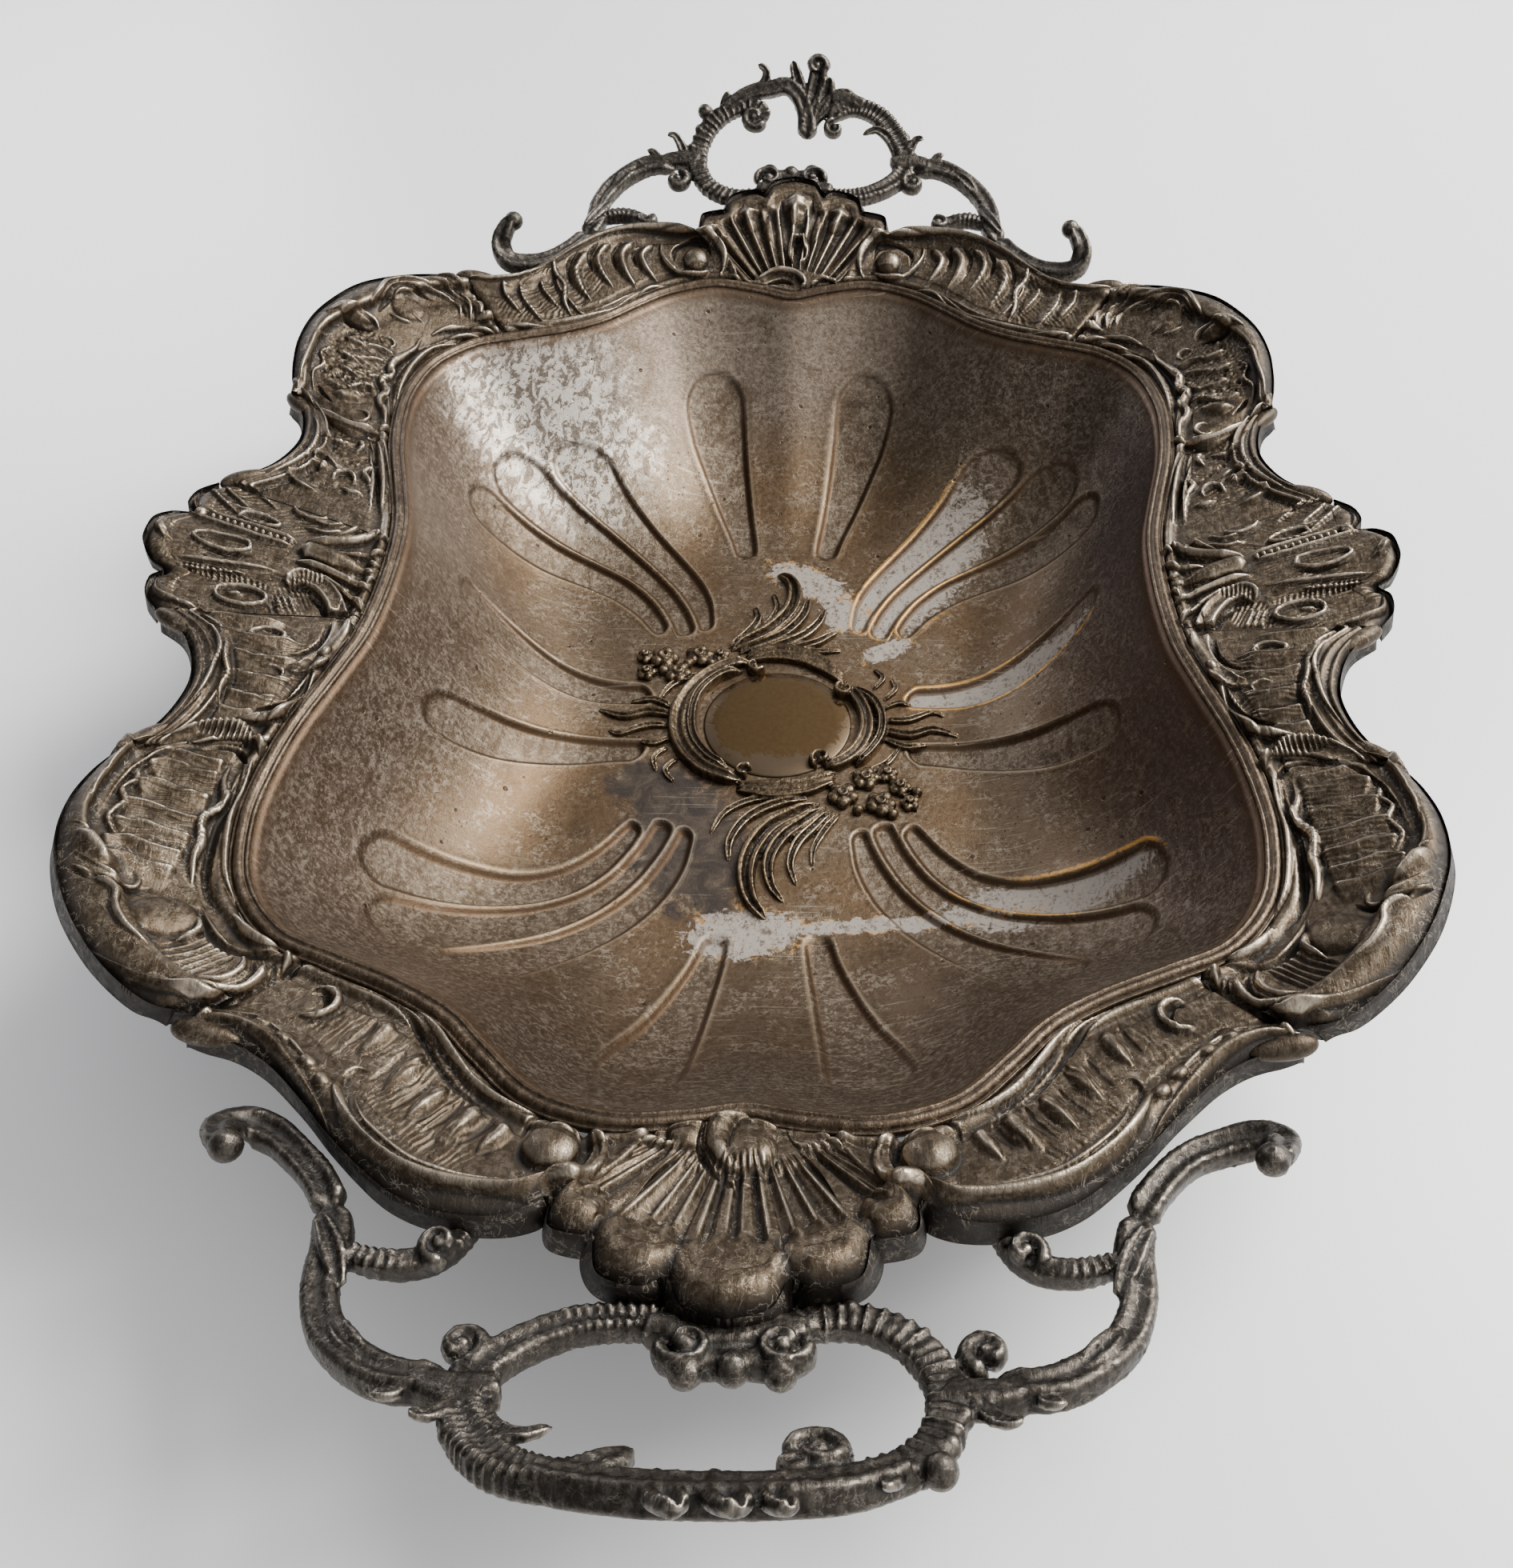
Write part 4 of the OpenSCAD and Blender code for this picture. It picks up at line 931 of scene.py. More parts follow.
def side_scroll_far(p):
    """Waisted panel with hooked leaves and long grooves beside the lip; far half."""
    p.grain(0.3, 1.2, 8, 105, 36, 8, 13)
    p.pebbles(0.4, 4, 106, 38, 7, 12, seed=6)
    p.fold_edge(3.6, 1.4, (114, 28.6), (110.6, 26), (106.6, 25), taper=(0.1, 0.4))
    p.fold_edge(3.6, 1.4, (110.4, 36), (107.6, 37.6), (104, 34.6), taper=(0.1, 0.4))
    p.fold_edge(3.4, 1.4, (109.6, 45.6), (106.6, 44.6), (103.4, 46), taper=(0.1, 0.4))
    p.soft(5, 1.6, (108, 33), (107.4, 36.4))
    p.ridge(1.1, 1.5, (104.6, 30.6), (104, 33), (101.6, 33.8), (99.8, 32), (100.2, 30.4))
    p.ridge(1, 1.3, (102, 28.4), (100, 27), (97, 27.4))
    p.ridge(1.5, 1.6, (98.6, 42), (96.8, 38.6), (98.4, 35), (96.4, 31.6), (96.2, 28.6))
    p.ridge(1.4, 1.5, (102.4, 47.6), (101, 45), (102, 42.6))
    p.ridge(1.3, 1.4, (117, 26.6), (113, 31.6), (110.6, 38), (111, 45), (113.6, 52))
    for d in (0, 2.3, 4.6):
        p.ridge(1.3, 1.5, (89.6 + d, 22), (91 + d, 30), (93.4 + 0.8 * d, 38), (96 + 0.7 * d, 46),
                (97.6 + 0.6 * d, 50))
    p.groove(1.3, 1.4, (93, 24), (94.6, 32), (97.6, 41), (100, 47.6))
    p.groove(1.6, 1.4, (108, 50.6), (103.6, 49.4), (98, 50))


def side_scroll_near(p):
    """Waisted panel of terraced leaves with a polished horn beside the lip; near half."""
    p.grain(0.35, 1.1, 4, 103, 33, 8.4, 12)
    for y, x0, x1 in ((25.6, 113, 98), (31, 109.6, 97), (36.6, 108.6, 96.6), (42, 107.6, 97.6),
                      (46.6, 108, 101)):
        p.fold_edge(4.8, 1.4, (x0, y), (0.5 * (x0 + x1), y + 0.4), (x1, y - 1), taper=(0.06, 0.2))
    p.ridge(1, 1.3, (107.6, 24.6), (105.4, 23), (102.4, 22.8), (101.2, 24.4), (103.4, 26), (106.6, 26),
            (107.6, 24.6), taper=(0, 0))
    p.ridge(0.9, 1.2, (103.4, 34.2), (101, 33.4), (99, 34.2), (99.4, 35.6))
    p.ridge(1.6, 1.6, (119.6, 20.6), (114, 24.6), (110.4, 30), (109.4, 35), (107.8, 38.4), (108.2, 43),
            (107.4, 47.6))
    p.ridge(1.2, 1.3, (115.4, 25), (112.2, 30), (111, 36), (111.4, 43), (113.4, 50))
    p.fold_edge(4.4, 1.3, (117, 21), (110, 20.6), (102, 20), taper=(0.06, 0.2))
    p.channel(4.2, 2, (91.6, 17), (91.2, 22), (92.6, 28), (96, 32), (99.6, 33), taper=(0.02, 0.3), hollow=0.4)
    p.groove(1.3, 1.4, (94.4, 18), (94.2, 23), (96.6, 27.4), (100, 29))
    p.ridge(2.9, 2.8, (91, 29), (91.6, 37), (94.4, 43.4), (98.6, 47.2), (104.6, 49.2), taper=(0.3, 0.2))
    p.groove(1.6, 1.8, (94, 32), (94.6, 38), (97.6, 43), (102, 46))
    p.ridge(1.3, 1.3, (88.8, 30), (89.8, 38), (92.6, 45), (95.4, 51))
    p.dome(1.9, 2.2, 92.6, 27.6)


# ---------------------------------------------------------------- cast pieces: bars, leaves and balls
# The handle's sheet leaves the rim at a small angle, runs straight, then curls up at a steady rate.
HANDLE_START = 132
HANDLE_RISE = 2.2
HANDLE_FLAT = 28.0
HANDLE_LEVEL = 8.0
HANDLE_RATE = 0.95
HANDLE_SCALE = 180 / math.pi / HANDLE_RATE


def handle_sheet(x, s, h):
    """Point on the curved sheet the far handle lies in: across, along and out of its face."""
    a = np.radians(HANDLE_LEVEL + np.maximum(0, s - HANDLE_FLAT) * HANDLE_RATE)
    level = math.radians(HANDLE_LEVEL)
    flat = np.minimum(s, HANDLE_FLAT)
    y = HANDLE_START + flat * math.cos(level) + HANDLE_SCALE * (np.sin(a) - math.sin(level))
    z = HANDLE_RISE + flat * math.sin(level) + HANDLE_SCALE * (math.cos(level) - np.cos(a))
    return np.stack([x + 0 * y, y - h * np.sin(a), z + LIP_Z + h * np.cos(a)], axis=-1)


# The castings are cut off at this height, so they stay inside the frame's box.
TALLEST = 83.0


def floor_sheet(x, y, h):
    """Point above the flat floor."""
    return np.stack([x, y, SHEET + h], axis=-1)


class Casting:
    """Closed shapes swept over a sheet and gathered into one mesh."""

    def __init__(self, sheet, step=0.7):
        self.sheet = sheet
        self.step = step
        self.points, self.faces, self.count = [], [], 0

    def add(self, points, faces):
        """Takes in one closed shape."""
        self.points.append(points)
        self.faces += [tuple(int(i) + self.count for i in f) for f in faces]
        self.count += len(points)

    def bar(self, route, wide, deep, section="square", ribs=0.0, rib_pitch=1.6, beads=0.0, taper=(0.06, 0.06),
            centre_line=0.0, sides=20):
        """Sweep along points of across, along, height and share of the full size."""
        rough = spline(route, 12)
        length = np.concatenate([[0], np.cumsum(np.linalg.norm(np.diff(rough[:, :2], axis=0), axis=1))])
        n = max(8, int(length[-1] / self.step))
        at = np.linspace(0, length[-1], n)
        path = np.stack([np.interp(at, length, rough[:, k]) for k in range(4)], axis=1)
        share = at / length[-1]
        close = np.ones(n)
        if taper[0] > 0:
            close *= np.sqrt(np.clip(share / taper[0], 0.02, 1))
        if taper[1] > 0:
            close *= np.sqrt(np.clip((1 - share) / taper[1], 0.02, 1))
        d = np.gradient(path[:, :2], axis=0)
        d /= np.maximum(np.linalg.norm(d, axis=1), 1e-9)[:, None]
        turn = np.linspace(0, math.tau, sides, endpoint=False)
        c, s = np.cos(turn), np.sin(turn)
        power = {"square": 0.55, "round": 1.0, "leaf": 1.0}[section]
        across = np.sign(c) * np.abs(c) ** power
        up = np.sign(s) * np.abs(s) ** power
        if section == "leaf":
            up = np.where(s > 0, s * (0.55 + 0.45 * np.abs(c)), s * 0.6)
        wave = np.ones(n)
        if ribs:
            wave = 1 - ribs * (0.5 - 0.5 * np.cos(math.tau * at / rib_pitch)) ** 2
        if beads:
            wave = 1 - beads * np.abs(np.cos(math.pi * at / rib_pitch))
        size = path[:, 3] * close
        half_w = 0.5 * wide * size * (1 - 0.5 * (1 - wave))
        half_d = 0.5 * deep * np.minimum(1, path[:, 3] + 0.2) * close
        top = up[None, :] * half_d[:, None] * np.where(up[None, :] > 0, wave[:, None], 1)
        if centre_line:
            top = top - centre_line * half_d[:, None] * np.exp(-(across / 0.3) ** 2)[None,
                                                                                     :] * (up[None, :] > 0)
        x = path[:, 0:1] + across[None, :] * half_w[:, None] * d[:, 1:2]
        y = path[:, 1:2] - across[None, :] * half_w[:, None] * d[:, 0:1]
        p = self.sheet(x, y, path[:, 2:3] + top)
        faces = [tuple(f) for f in grid_faces(n, sides, wrap=True).tolist()]
        faces += [tuple(range(sides - 1, -1, -1)), tuple((n - 1) * sides + k for k in range(sides))]
        self.add(p.reshape(-1, 3), faces)

    def ball(self, x, y, h, radius, squash=1.0, rings=10, sides=16):
        """Small rounded knob."""
        a = np.linspace(-math.pi / 2, math.pi / 2, rings)[1:-1, None]
        b = np.linspace(0, math.tau, sides, endpoint=False)[None, :]
        px = x + radius * np.cos(a) * np.cos(b)
        py = y + radius * np.cos(a) * np.sin(b)
        pz = h + radius * squash * np.sin(a) + 0 * b
        body = self.sheet(px, py, pz).reshape(-1, 3)
        poles = self.sheet(np.array([x, x]), np.array([y, y]),
                           np.array([h - radius * squash, h + radius * squash]))
        rows = rings - 2
        faces = [tuple(f) for f in grid_faces(rows, sides, wrap=True).tolist()]
        low, high = rows * sides, rows * sides + 1
        faces += [(low, (k + 1) % sides, k) for k in range(sides)]
        faces += [(high, (rows - 1) * sides + k, (rows - 1) * sides + (k + 1) % sides) for k in range(sides)]
        self.add(np.vstack([body, poles]), faces)

    def volute(self, x, y, h, radius, width, deep, start, turns, hand=1):
        """Scroll end that winds inwards from an angle in degrees."""
        k = np.linspace(0, 1, max(6, int(10 * turns)))
        a = np.radians(start) + hand * math.tau * turns * k
        r = radius * (1 - 0.72 * k)
        route = [(x + rr * math.cos(aa), y + rr * math.sin(aa), h + 0.5 * kk, 1 - 0.35 * kk)
                 for rr, aa, kk in zip(r, a, k)]
        self.bar(route, width, deep, "round", taper=(0.1, 0.1))
        self.ball(x, y, h + 0.6, radius * 0.42, 1.1)

    def finish(self, name, voxel, grain, spin=False, lowest=None):
        """Joins all shapes into one skin of voxels, then gives it a fine cast grain."""
        points = np.vstack(self.points)
        if spin:
            points = points * (-1, -1, 1)
        obj = new_object(name, points, self.faces)
        bpy.context.view_layer.objects.active = obj
        obj.data.remesh_voxel_size = voxel * MM
        obj.data.remesh_voxel_adaptivity = 0
        obj.select_set(True)
        bpy.ops.object.voxel_remesh()
        obj.select_set(False)
        mesh = obj.data
        relax(mesh, 1)
        p = points_of(mesh)
        n = np.empty(len(p) * 3)
        mesh.vertices.foreach_get("normal", n)
        bump = wobble(p[:, 0] + p[:, 2], p[:, 1] - p[:, 2], 2.6, 9)
        bump = bump * wobble(p[:, 1], p[:, 0] + p[:, 2], 1.9, 4)
        p += n.reshape(-1, 3) * (grain * bump)[:, None]
        if lowest is not None:
            p[:, 2] = np.maximum(p[:, 2], lowest)
        p[:, 2] = np.minimum(p[:, 2], TALLEST)
        mesh.vertices.foreach_set("co", (p * MM).ravel())
        mesh.update()
        mesh.shade_smooth()
        return obj


def relax(mesh, rounds):
    """Evens out the steps left by remeshing, keeping the size."""
    p = points_of(mesh)
    e = np.empty(len(mesh.edges) * 2, dtype=np.int64)
    mesh.edges.foreach_get("vertices", e)
    a, b = e[0::2], e[1::2]
    count = np.maximum(np.bincount(a, minlength=len(p)) + np.bincount(b, minlength=len(p)), 1)[:, None]
    for _ in range(rounds):
        for push in (0.5, -0.52):
            total = np.stack([
                np.bincount(a, p[b, k], len(p)) + np.bincount(b, p[a, k], len(p)) for k in range(3)], axis=1)
            p = p + push * (total / count - p)
    mesh.vertices.foreach_set("co", (p * MM).ravel())
    mesh.update()


def build_handle(name, near):
    """Openwork handle of square bars, scrolls and leaves.

    The near one is turned half round, has leaf lumps in place of the tall crest and a shorter left arm.
    """
    c = Casting(handle_sheet)
    wide, deep = 5.2, 4.6
    for side in (-1, 1):
        def at(*route, s=side):
            """Route on this side of the handle."""
            return [(x * s, *rest) for x, *rest in route]
        short = 4 if near and side > 0 else 0
        c.bar(at((78.5 - short, 15, 7.5, 0.55), (81 - short, 12.5, 6.5, 0.9),
                 (82.6 - short, 8.6, 3.6, 1.05), (80.4 - short, 5.8, 0.4, 1.2),
                 (75 - 0.6 * short, 6.4, -1, 1.1), (69, 9, -1.2, 1), (63.4, 14.4, -1, 1),
                 (59.6, 20, -0.6, 1.05)), wide, deep, "square", centre_line=0.35)
        c.ball((79.2 - short) * side, 14.6, 7.4, 2.6)
        c.bar(at((60, 19, -1, 1), (58, 26, -0.6, 1.15), (57.6, 33, 0, 1), (55, 39.6, 0, 1.05),
                 (50.6, 44.6, 0.3, 1.05), (45, 48.4, 0.3, 1.1), (40, 49.4, 0.2, 1), (36, 47.6, 0, 0.9)),
              wide, deep, "square", centre_line=0.3)
        c.bar(at((60.6, 22, 1, 0.5), (57, 28, 1.8, 0.9), (54.6, 34, 1, 0.5)), 4.4, 3, "leaf", centre_line=0.5)
        c.bar(at((54, 39, 1.2, 0.5), (50.6, 43.6, 2, 0.9), (47, 47, 1.6, 0.5)), 4.2, 3, "leaf",
              centre_line=0.5)
        c.volute(35.2 * side, 43.6, 0.2, 3.4, 3, 4, 90, 1.1, hand=side)
        c.bar(at((57, 27, 0, 0.7), (51, 29, 0, 0.85), (45.6, 28.4, -1, 0.9), (41.6, 25.6, -2, 0.85),
                 (39, 20, -3, 0.8), (37.6, 14, -4.2, 0.8)), 4.4, deep, "square", ribs=0.35, rib_pitch=1.5)
        c.volute(42.2 * side, 26.2, 0.2, 3, 2.4, 3.6, 120, 1, hand=-side)
        c.bar(at((41, 48.8, 0, 0.7), (37, 50.8, 0, 0.9), (31, 51, 0, 0.9), (28.6, 50, 0, 0.7)), wide, deep,
              "square")
        c.bar(at((33, 51, 0.4, 0.8), (34.2, 55, 1, 0.75), (36.4, 58.2, 2, 0.55), (38.4, 57.6, 2.6, 0.4)), 4,
              3, "leaf", centre_line=0.4)
        c.bar(at((41, 49.6, 0.4, 0.8), (42.2, 52.6, 1, 0.7), (44.6, 53.4, 1.6, 0.4)), 3.6, 3, "leaf")
    # Beaded arm on the left of the middle loop.
    c.bar([(-5, 39.6, 0, 0.8), (-14, 37.8, 0, 0.9), (-20, 38.2, 0, 1), (-25.4, 41.4, 0, 1.05),
           (-28.6, 46.6, 0, 1.1), (-29.4, 52, 0, 1.1), (-28.2, 58, 0, 1.1), (-25, 63.4, 0, 1.1),
           (-20, 67, 0, 1), (-14, 68.8, 0, 0.95), (-9.8, 66.6, 0.6, 0.85), (-9.6, 63.2, 1, 0.8)],
          wide + 0.4, deep, "square", beads=0.35, rib_pitch=1.9)
    c.volute(-12.8, 64.6, 0.8, 4.2 if near else 3.5, 2.8, 4.2, -10, 1.15, hand=-1)
    c.ball(-27.4, 66.4, 0.6, 2.3)
    c.bar([(-22, 67.4, 0, 0.8), (-21.4, 70, 0.8, 0.7), (-20.4, 72.4, 1.4, 0.4)], 3.6, 3, "leaf")
    for x, s in ((-31, 49), (-31.2, 55), (-29, 61), (-24.4, 39.6), (-17, 36.2)):
        c.ball(x, s, 0.4, 1.5, 1.1)
    # Ribbed arm on the right.
    c.bar([(5, 39.6, 0, 0.8), (12, 38.2, 0, 0.9), (20, 38.8, 0, 0.95), (26.4, 41.8, 0, 1),
           (30.6, 45.4, 0, 1.05), (33, 50, 0, 1.1), (32.6, 55, 0, 1.15), (29.4, 61, 0, 1.15),
           (24.6, 66.2, 0, 1.1), (18, 68.6, 0, 1), (12.6, 67, 0.5, 0.95), (9.8, 63.2, 1, 0.9)], wide + 0.4,
          deep, "square", ribs=0.3, rib_pitch=1.4, centre_line=0.25)
    if not near:
        c.volute(11.6, 61.4, 1, 3, 2.2, 4, 80, 1.05, hand=1)
    c.bar([(20, 59.4, 1.6, 0.3), (24, 61.2, 1.4, 0.6), (28, 58.6, 0.8, 0.75), (30.4, 53, 0.2, 0.7),
           (29.6, 47, 0, 0.5)], 4.2, 3.6, "leaf", centre_line=0.5)
    for x, s in ((34.6, 47), (35.4, 53), (33, 59.4), (28.4, 65)):
        c.ball(x, s, 0.4, 1.4, 1.1)
    # Crest over the loop: bar, stem and finial leaves.
    if near:
        c.bar([(-23, 65.8, 0, 0.8), (-16, 69.8, 0, 1), (-8, 71.4, 0, 1), (0, 71.8, 0, 1), (8, 71.4, 0, 1),
               (16, 69.8, 0, 0.9), (21, 68, 0, 0.8)], wide, deep, "square", centre_line=0.2, taper=(0, 0))
        for x, size in ((-8, 0.8), (-2.4, 1.15), (4.6, 1)):
            c.bar([(x, 68.4, 0.6, 0.8 * size), (x + 0.6, 72, 0.8, size), (x - 0.4, 75.6, 0.8, size),
                   (x - 2.2, 78.4, 1.2, 0.6 * size)], 5, 4.2, "leaf", centre_line=0.5)
    else:
        c.bar([(-23, 65.8, 0, 0.7), (-17, 70.6, 0, 0.85), (-12, 72.8, 0, 0.9), (-8, 73.4, 0, 0.9),
               (-3, 74.4, 0, 0.95), (0.6, 71.6, 0, 0.95), (2.8, 66.6, 0, 1), (3.4, 61, 0.4, 1.15),
               (3.4, 58.4, 0.6, 0.8)], wide, deep, "square", centre_line=0.2)
        c.bar([(-12.6, 72.4, 0.2, 0.9), (-9.6, 75.4, 0.8, 0.75), (-9.2, 78.4, 1.6, 0.6),
               (-11.6, 80, 2.2, 0.45)], 3.8, 3, "leaf", centre_line=0.4)
        c.bar([(3.4, 62, 0.6, 1), (2.4, 68, 0.6, 1), (0.6, 75, 0.6, 0.9), (-1.2, 81.4, 1, 0.5)], 4.6, 4,
              "leaf", centre_line=0.6)
        c.bar([(3.6, 62, 0.6, 1), (4.6, 69, 0.8, 1.1), (6.2, 76, 0.8, 1.2), (6.8, 81, 1, 1)], 4.8, 4.2,
              "leaf", centre_line=0.6)
        c.volute(6, 80, 0.8, 3.2, 2.4, 4, -30, 1, hand=1)
        c.bar([(3.8, 62, 0.6, 1), (6, 67.4, 0.8, 1.15), (9, 72.4, 0.8, 1.1), (9.6, 77, 1.2, 0.7)], 4.6, 4,
              "leaf", centre_line=0.6)
        c.bar([(4, 63, 0.6, 0.9), (7.4, 67, 0.8, 1.1), (12.4, 71.4, 0.8, 1), (17.4, 72.2, 1.2, 0.5)], 4.4,
              4, "leaf", centre_line=0.6)
        c.bar([(10, 71, 0, 0.8), (15, 71, 0, 0.8), (20.6, 68.4, 0, 0.8)], wide, deep, "square")
    # Pair of scrolls with three bumps in front of the shell.
    c.bar([(-12, 40, 0.4, 0.7), (-5, 40.4, 0.6, 1), (0, 41.4, 0.8, 1.1), (5, 40.6, 0.6, 1),
           (12, 40, 0.4, 0.7)], 5, 4.6, "square")
    c.volute(-7.8, 43.6, 1, 3.9, 2.4, 4.4, 200, 1.15, hand=-1)
    c.volute(5.2, 43.8, 1, 3.9, 2.4, 4.4, -20, 1.15, hand=1)
    c.bar([(-9, 46.6, 0.2, 0.7), (-1.2, 45, 0.2, 1), (6.6, 46.6, 0.2, 0.7)], 4, 4, "square")
    for x, s in ((-7.6, 47), (-1.2, 46.4), (5, 47)):
        c.ball(x, s, 0.4, 2.5)
    c.bar([(-1.4, 30, -1.6, 0.9), (-1.4, 36, -0.8, 1), (-1.4, 42, 0, 1)], 6, 4, "square")
    return c.finish(name, voxel=0.42, grain=0.12, spin=near)


# ---------------------------------------------------------------- cartouche on the floor
def build_cartouche():
    """Asymmetric scroll frame with plumes, sprays of blossom and small flame leaves."""
    c = Casting(floor_sheet, step=0.5)

    def leaf(width, height, *route, line=0.55):
        """Leaf along points of x, y and size."""
        full = [(x, y, 0, s) for x, y, s in route]
        c.bar(full, width, height * 2, "leaf", centre_line=line, taper=(0.12, 0.05), sides=16)

    def band(width, height, *route, line=0.45):
        """Scroll band along points of x, y and size."""
        full = [(x, y, 0, s) for x, y, s in route]
        c.bar(full, width, height * 2, "square", centre_line=line, taper=(0.06, 0.06), sides=20)

    # Left C-scroll, double, and the right one that winds into a volute.
    band(4.2, 2.6, (-7, 21.4, 0.6), (-13, 20, 0.9), (-19.4, 14.6, 1), (-23.4, 7, 1.1), (-24.4, -1, 1.15),
         (-22.4, -9, 1.1), (-17.4, -15.6, 1), (-11, -19, 0.8), (-7.4, -19.2, 0.6))
    band(2.6, 2.9, (-9.4, 18, 0.6), (-15, 15.6, 0.9), (-19.6, 9.6, 1), (-21, 2, 1), (-20, -6, 1),
         (-16, -12.6, 0.9), (-11, -16, 0.7))
    c.volute(-6.4, 19.4, 0, 2.4, 1.8, 5, 0, 0.9, hand=-1)
    c.volute(-7.4, -17.4, 0, 2.3, 1.8, 5, 30, 0.9, hand=1)
    band(3.6, 2.6, (15.4, 12.6, 0.7), (19, 9, 0.9), (21.4, 3, 1), (21.6, -3.4, 1.1), (19.4, -9.4, 1.1),
         (15.4, -13.6, 1), (11.6, -15, 0.8))
    band(2.4, 2.9, (17.6, 12, 0.6), (23, 8, 0.9), (25.4, 2, 1), (25, -5, 1), (22, -11, 0.9), (19, -14.4, 0.6))
    c.volute(16.4, 11, 0.2, 2.6, 1.9, 5, 100, 1, hand=1)
    c.volute(10.8, -12.8, 0.2, 2.6, 1.9, 5, 250, 1, hand=-1)
    # Ridged arc above the plaque and the one below.
    for k in range(3):
        r = 1.9 * k
        band(2, 1.9, (-9, 21.6 + 0.6 * r, 0.5), (-2, 23 + r, 0.9), (5, 22 + r, 1), (11.6, 18 + r, 0.9),
             (16.4, 13.6 + 0.5 * r, 0.5), line=0.1)
        band(2, 1.9, (-9, -20.6 - 0.5 * r, 0.5), (-1, -20.6 - r, 0.9), (8, -19 - r, 1),
             (14.6, -16.4 - 0.7 * r, 0.5), line=0.1)
    # Upper plume: strands that curl to the left of its tip.
    leaf(5, 3.4, (-13, 26, 0.5), (-9, 29, 0.9), (-3, 34, 1), (1.6, 41, 1), (3, 48, 0.9), (1.6, 54, 0.7),
         (-2, 57, 0.4))
    leaf(3.6, 2.8, (-11, 25, 0.5), (-5, 28.6, 0.9), (1, 33, 1), (5.4, 40, 0.9), (6.6, 47, 0.5))
    leaf(3.4, 2.6, (-8, 25, 0.5), (-2, 27.4, 0.9), (5, 31.4, 1), (9.4, 37, 0.8), (11, 43, 0.4))
    leaf(3.2, 2.4, (-4, 25.4, 0.5), (3, 27, 0.9), (9.4, 29.6, 0.9), (14.4, 34, 0.5))
    leaf(3, 2.4, (-13.6, 27, 0.5), (-9.4, 32, 0.9), (-6.4, 38, 0.8), (-7.6, 43.4, 0.4))
    leaf(2.8, 2.2, (-8, 31, 0.5), (-3.4, 37, 0.9), (-1.4, 43, 0.8), (-3, 49, 0.4))
    leaf(2.4, 1.9, (2, 26.4, 0.5), (9, 26, 0.8), (15.6, 26.6, 0.4))
    # Lower plume.
    leaf(5, 3.4, (11, -26, 0.5), (6, -29.4, 0.9), (-0.4, -34, 1), (-4.4, -41, 1), (-5.4, -48, 0.9),
         (-4, -55, 0.7), (-0.4, -60, 0.4))
    leaf(3.6, 2.8, (12.6, -27, 0.5), (8, -31.4, 0.9), (2.4, -37, 1), (-0.4, -44, 0.9), (0.4, -51, 0.6),
         (3.4, -55.4, 0.3))
    leaf(3.2, 2.6, (14, -28, 0.5), (10, -33, 0.9), (6, -38.6, 0.9), (4.4, -45, 0.6), (6, -50.6, 0.3))
    leaf(2.8, 2.2, (15.6, -29, 0.5), (12.4, -34, 0.8), (9.6, -40, 0.6), (9.4, -45, 0.3))
    leaf(3.2, 2.4, (8, -24.6, 0.5), (0, -27, 0.9), (-6, -31.4, 0.9), (-9.4, -38, 0.7), (-9.4, -44, 0.3))
    leaf(2.6, 2, (2, -24, 0.5), (-6, -26, 0.8), (-11.4, -30, 0.7), (-14, -36, 0.3))
    # Flame leaves at the sides and small tufts.
    for s in (-1, 1):
        leaf(3, 2.2, (25 * s, -2 * s, 0.6), (32 * s, -3.4 * s, 1), (38 * s, -1.6 * s, 0.8),
             (44.6 * s, -4 * s, 0.3))
        leaf(2.4, 2, (26 * s, 1.4 * s, 0.6), (32 * s, 1.6 * s, 0.9), (38 * s, 4.4 * s, 0.6),
             (41 * s, 3 * s, 0.3))
        leaf(2.2, 1.8, (26 * s, -5 * s, 0.6), (31 * s, -7.6 * s, 0.9), (36.6 * s, -6.6 * s, 0.4))
        leaf(2.2, 1.8, (25 * s, 5 * s, 0.6), (29.6 * s, 7.6 * s, 0.8), (33 * s, 6.6 * s, 0.4))
        leaf(2, 1.8, (26 * s, 8.6 * s, 0.6), (29 * s, 12.4 * s, 0.8), (28 * s, 16.6 * s, 0.4))
        leaf(2, 1.8, (23.4 * s, 12.4 * s, 0.6), (26 * s, 16.4 * s, 0.8), (23.6 * s, 20 * s, 0.4))
        leaf(2.4, 2, (-19 * s, 17.4 * s, 0.6), (-26 * s, 13.6 * s, 0.9), (-29.6 * s, 8 * s, 0.5))
    for x, y, r in ((-29.6, 22.4, 3.5), (-20.8, 23.4, 3.4), (-25.6, 16.8, 3.2), (-33.6, 17, 2.4),
                    (-15.4, 23.6, 2.3), (-34.4, 23, 2.2), (16, -24, 3.5), (24.8, -26.4, 3.4),
                    (21.4, -18.6, 3.2), (29.4, -21, 2.6), (31.6, -26, 2.2), (26.6, -17, 2.4)):
        blossom(c, x, y, r)
    for x, y in ((-23.4, 20.4), (-29.4, 17.8), (-17.6, 20.6), (19.6, -28.4), (27.6, -29.6), (33.4, -22.6)):
        c.ball(x, y, 0.6, 1.4, 1.1)
    return c.finish("cartouche_casting", voxel=0.33, grain=0.05, lowest=SHEET - 0.1)


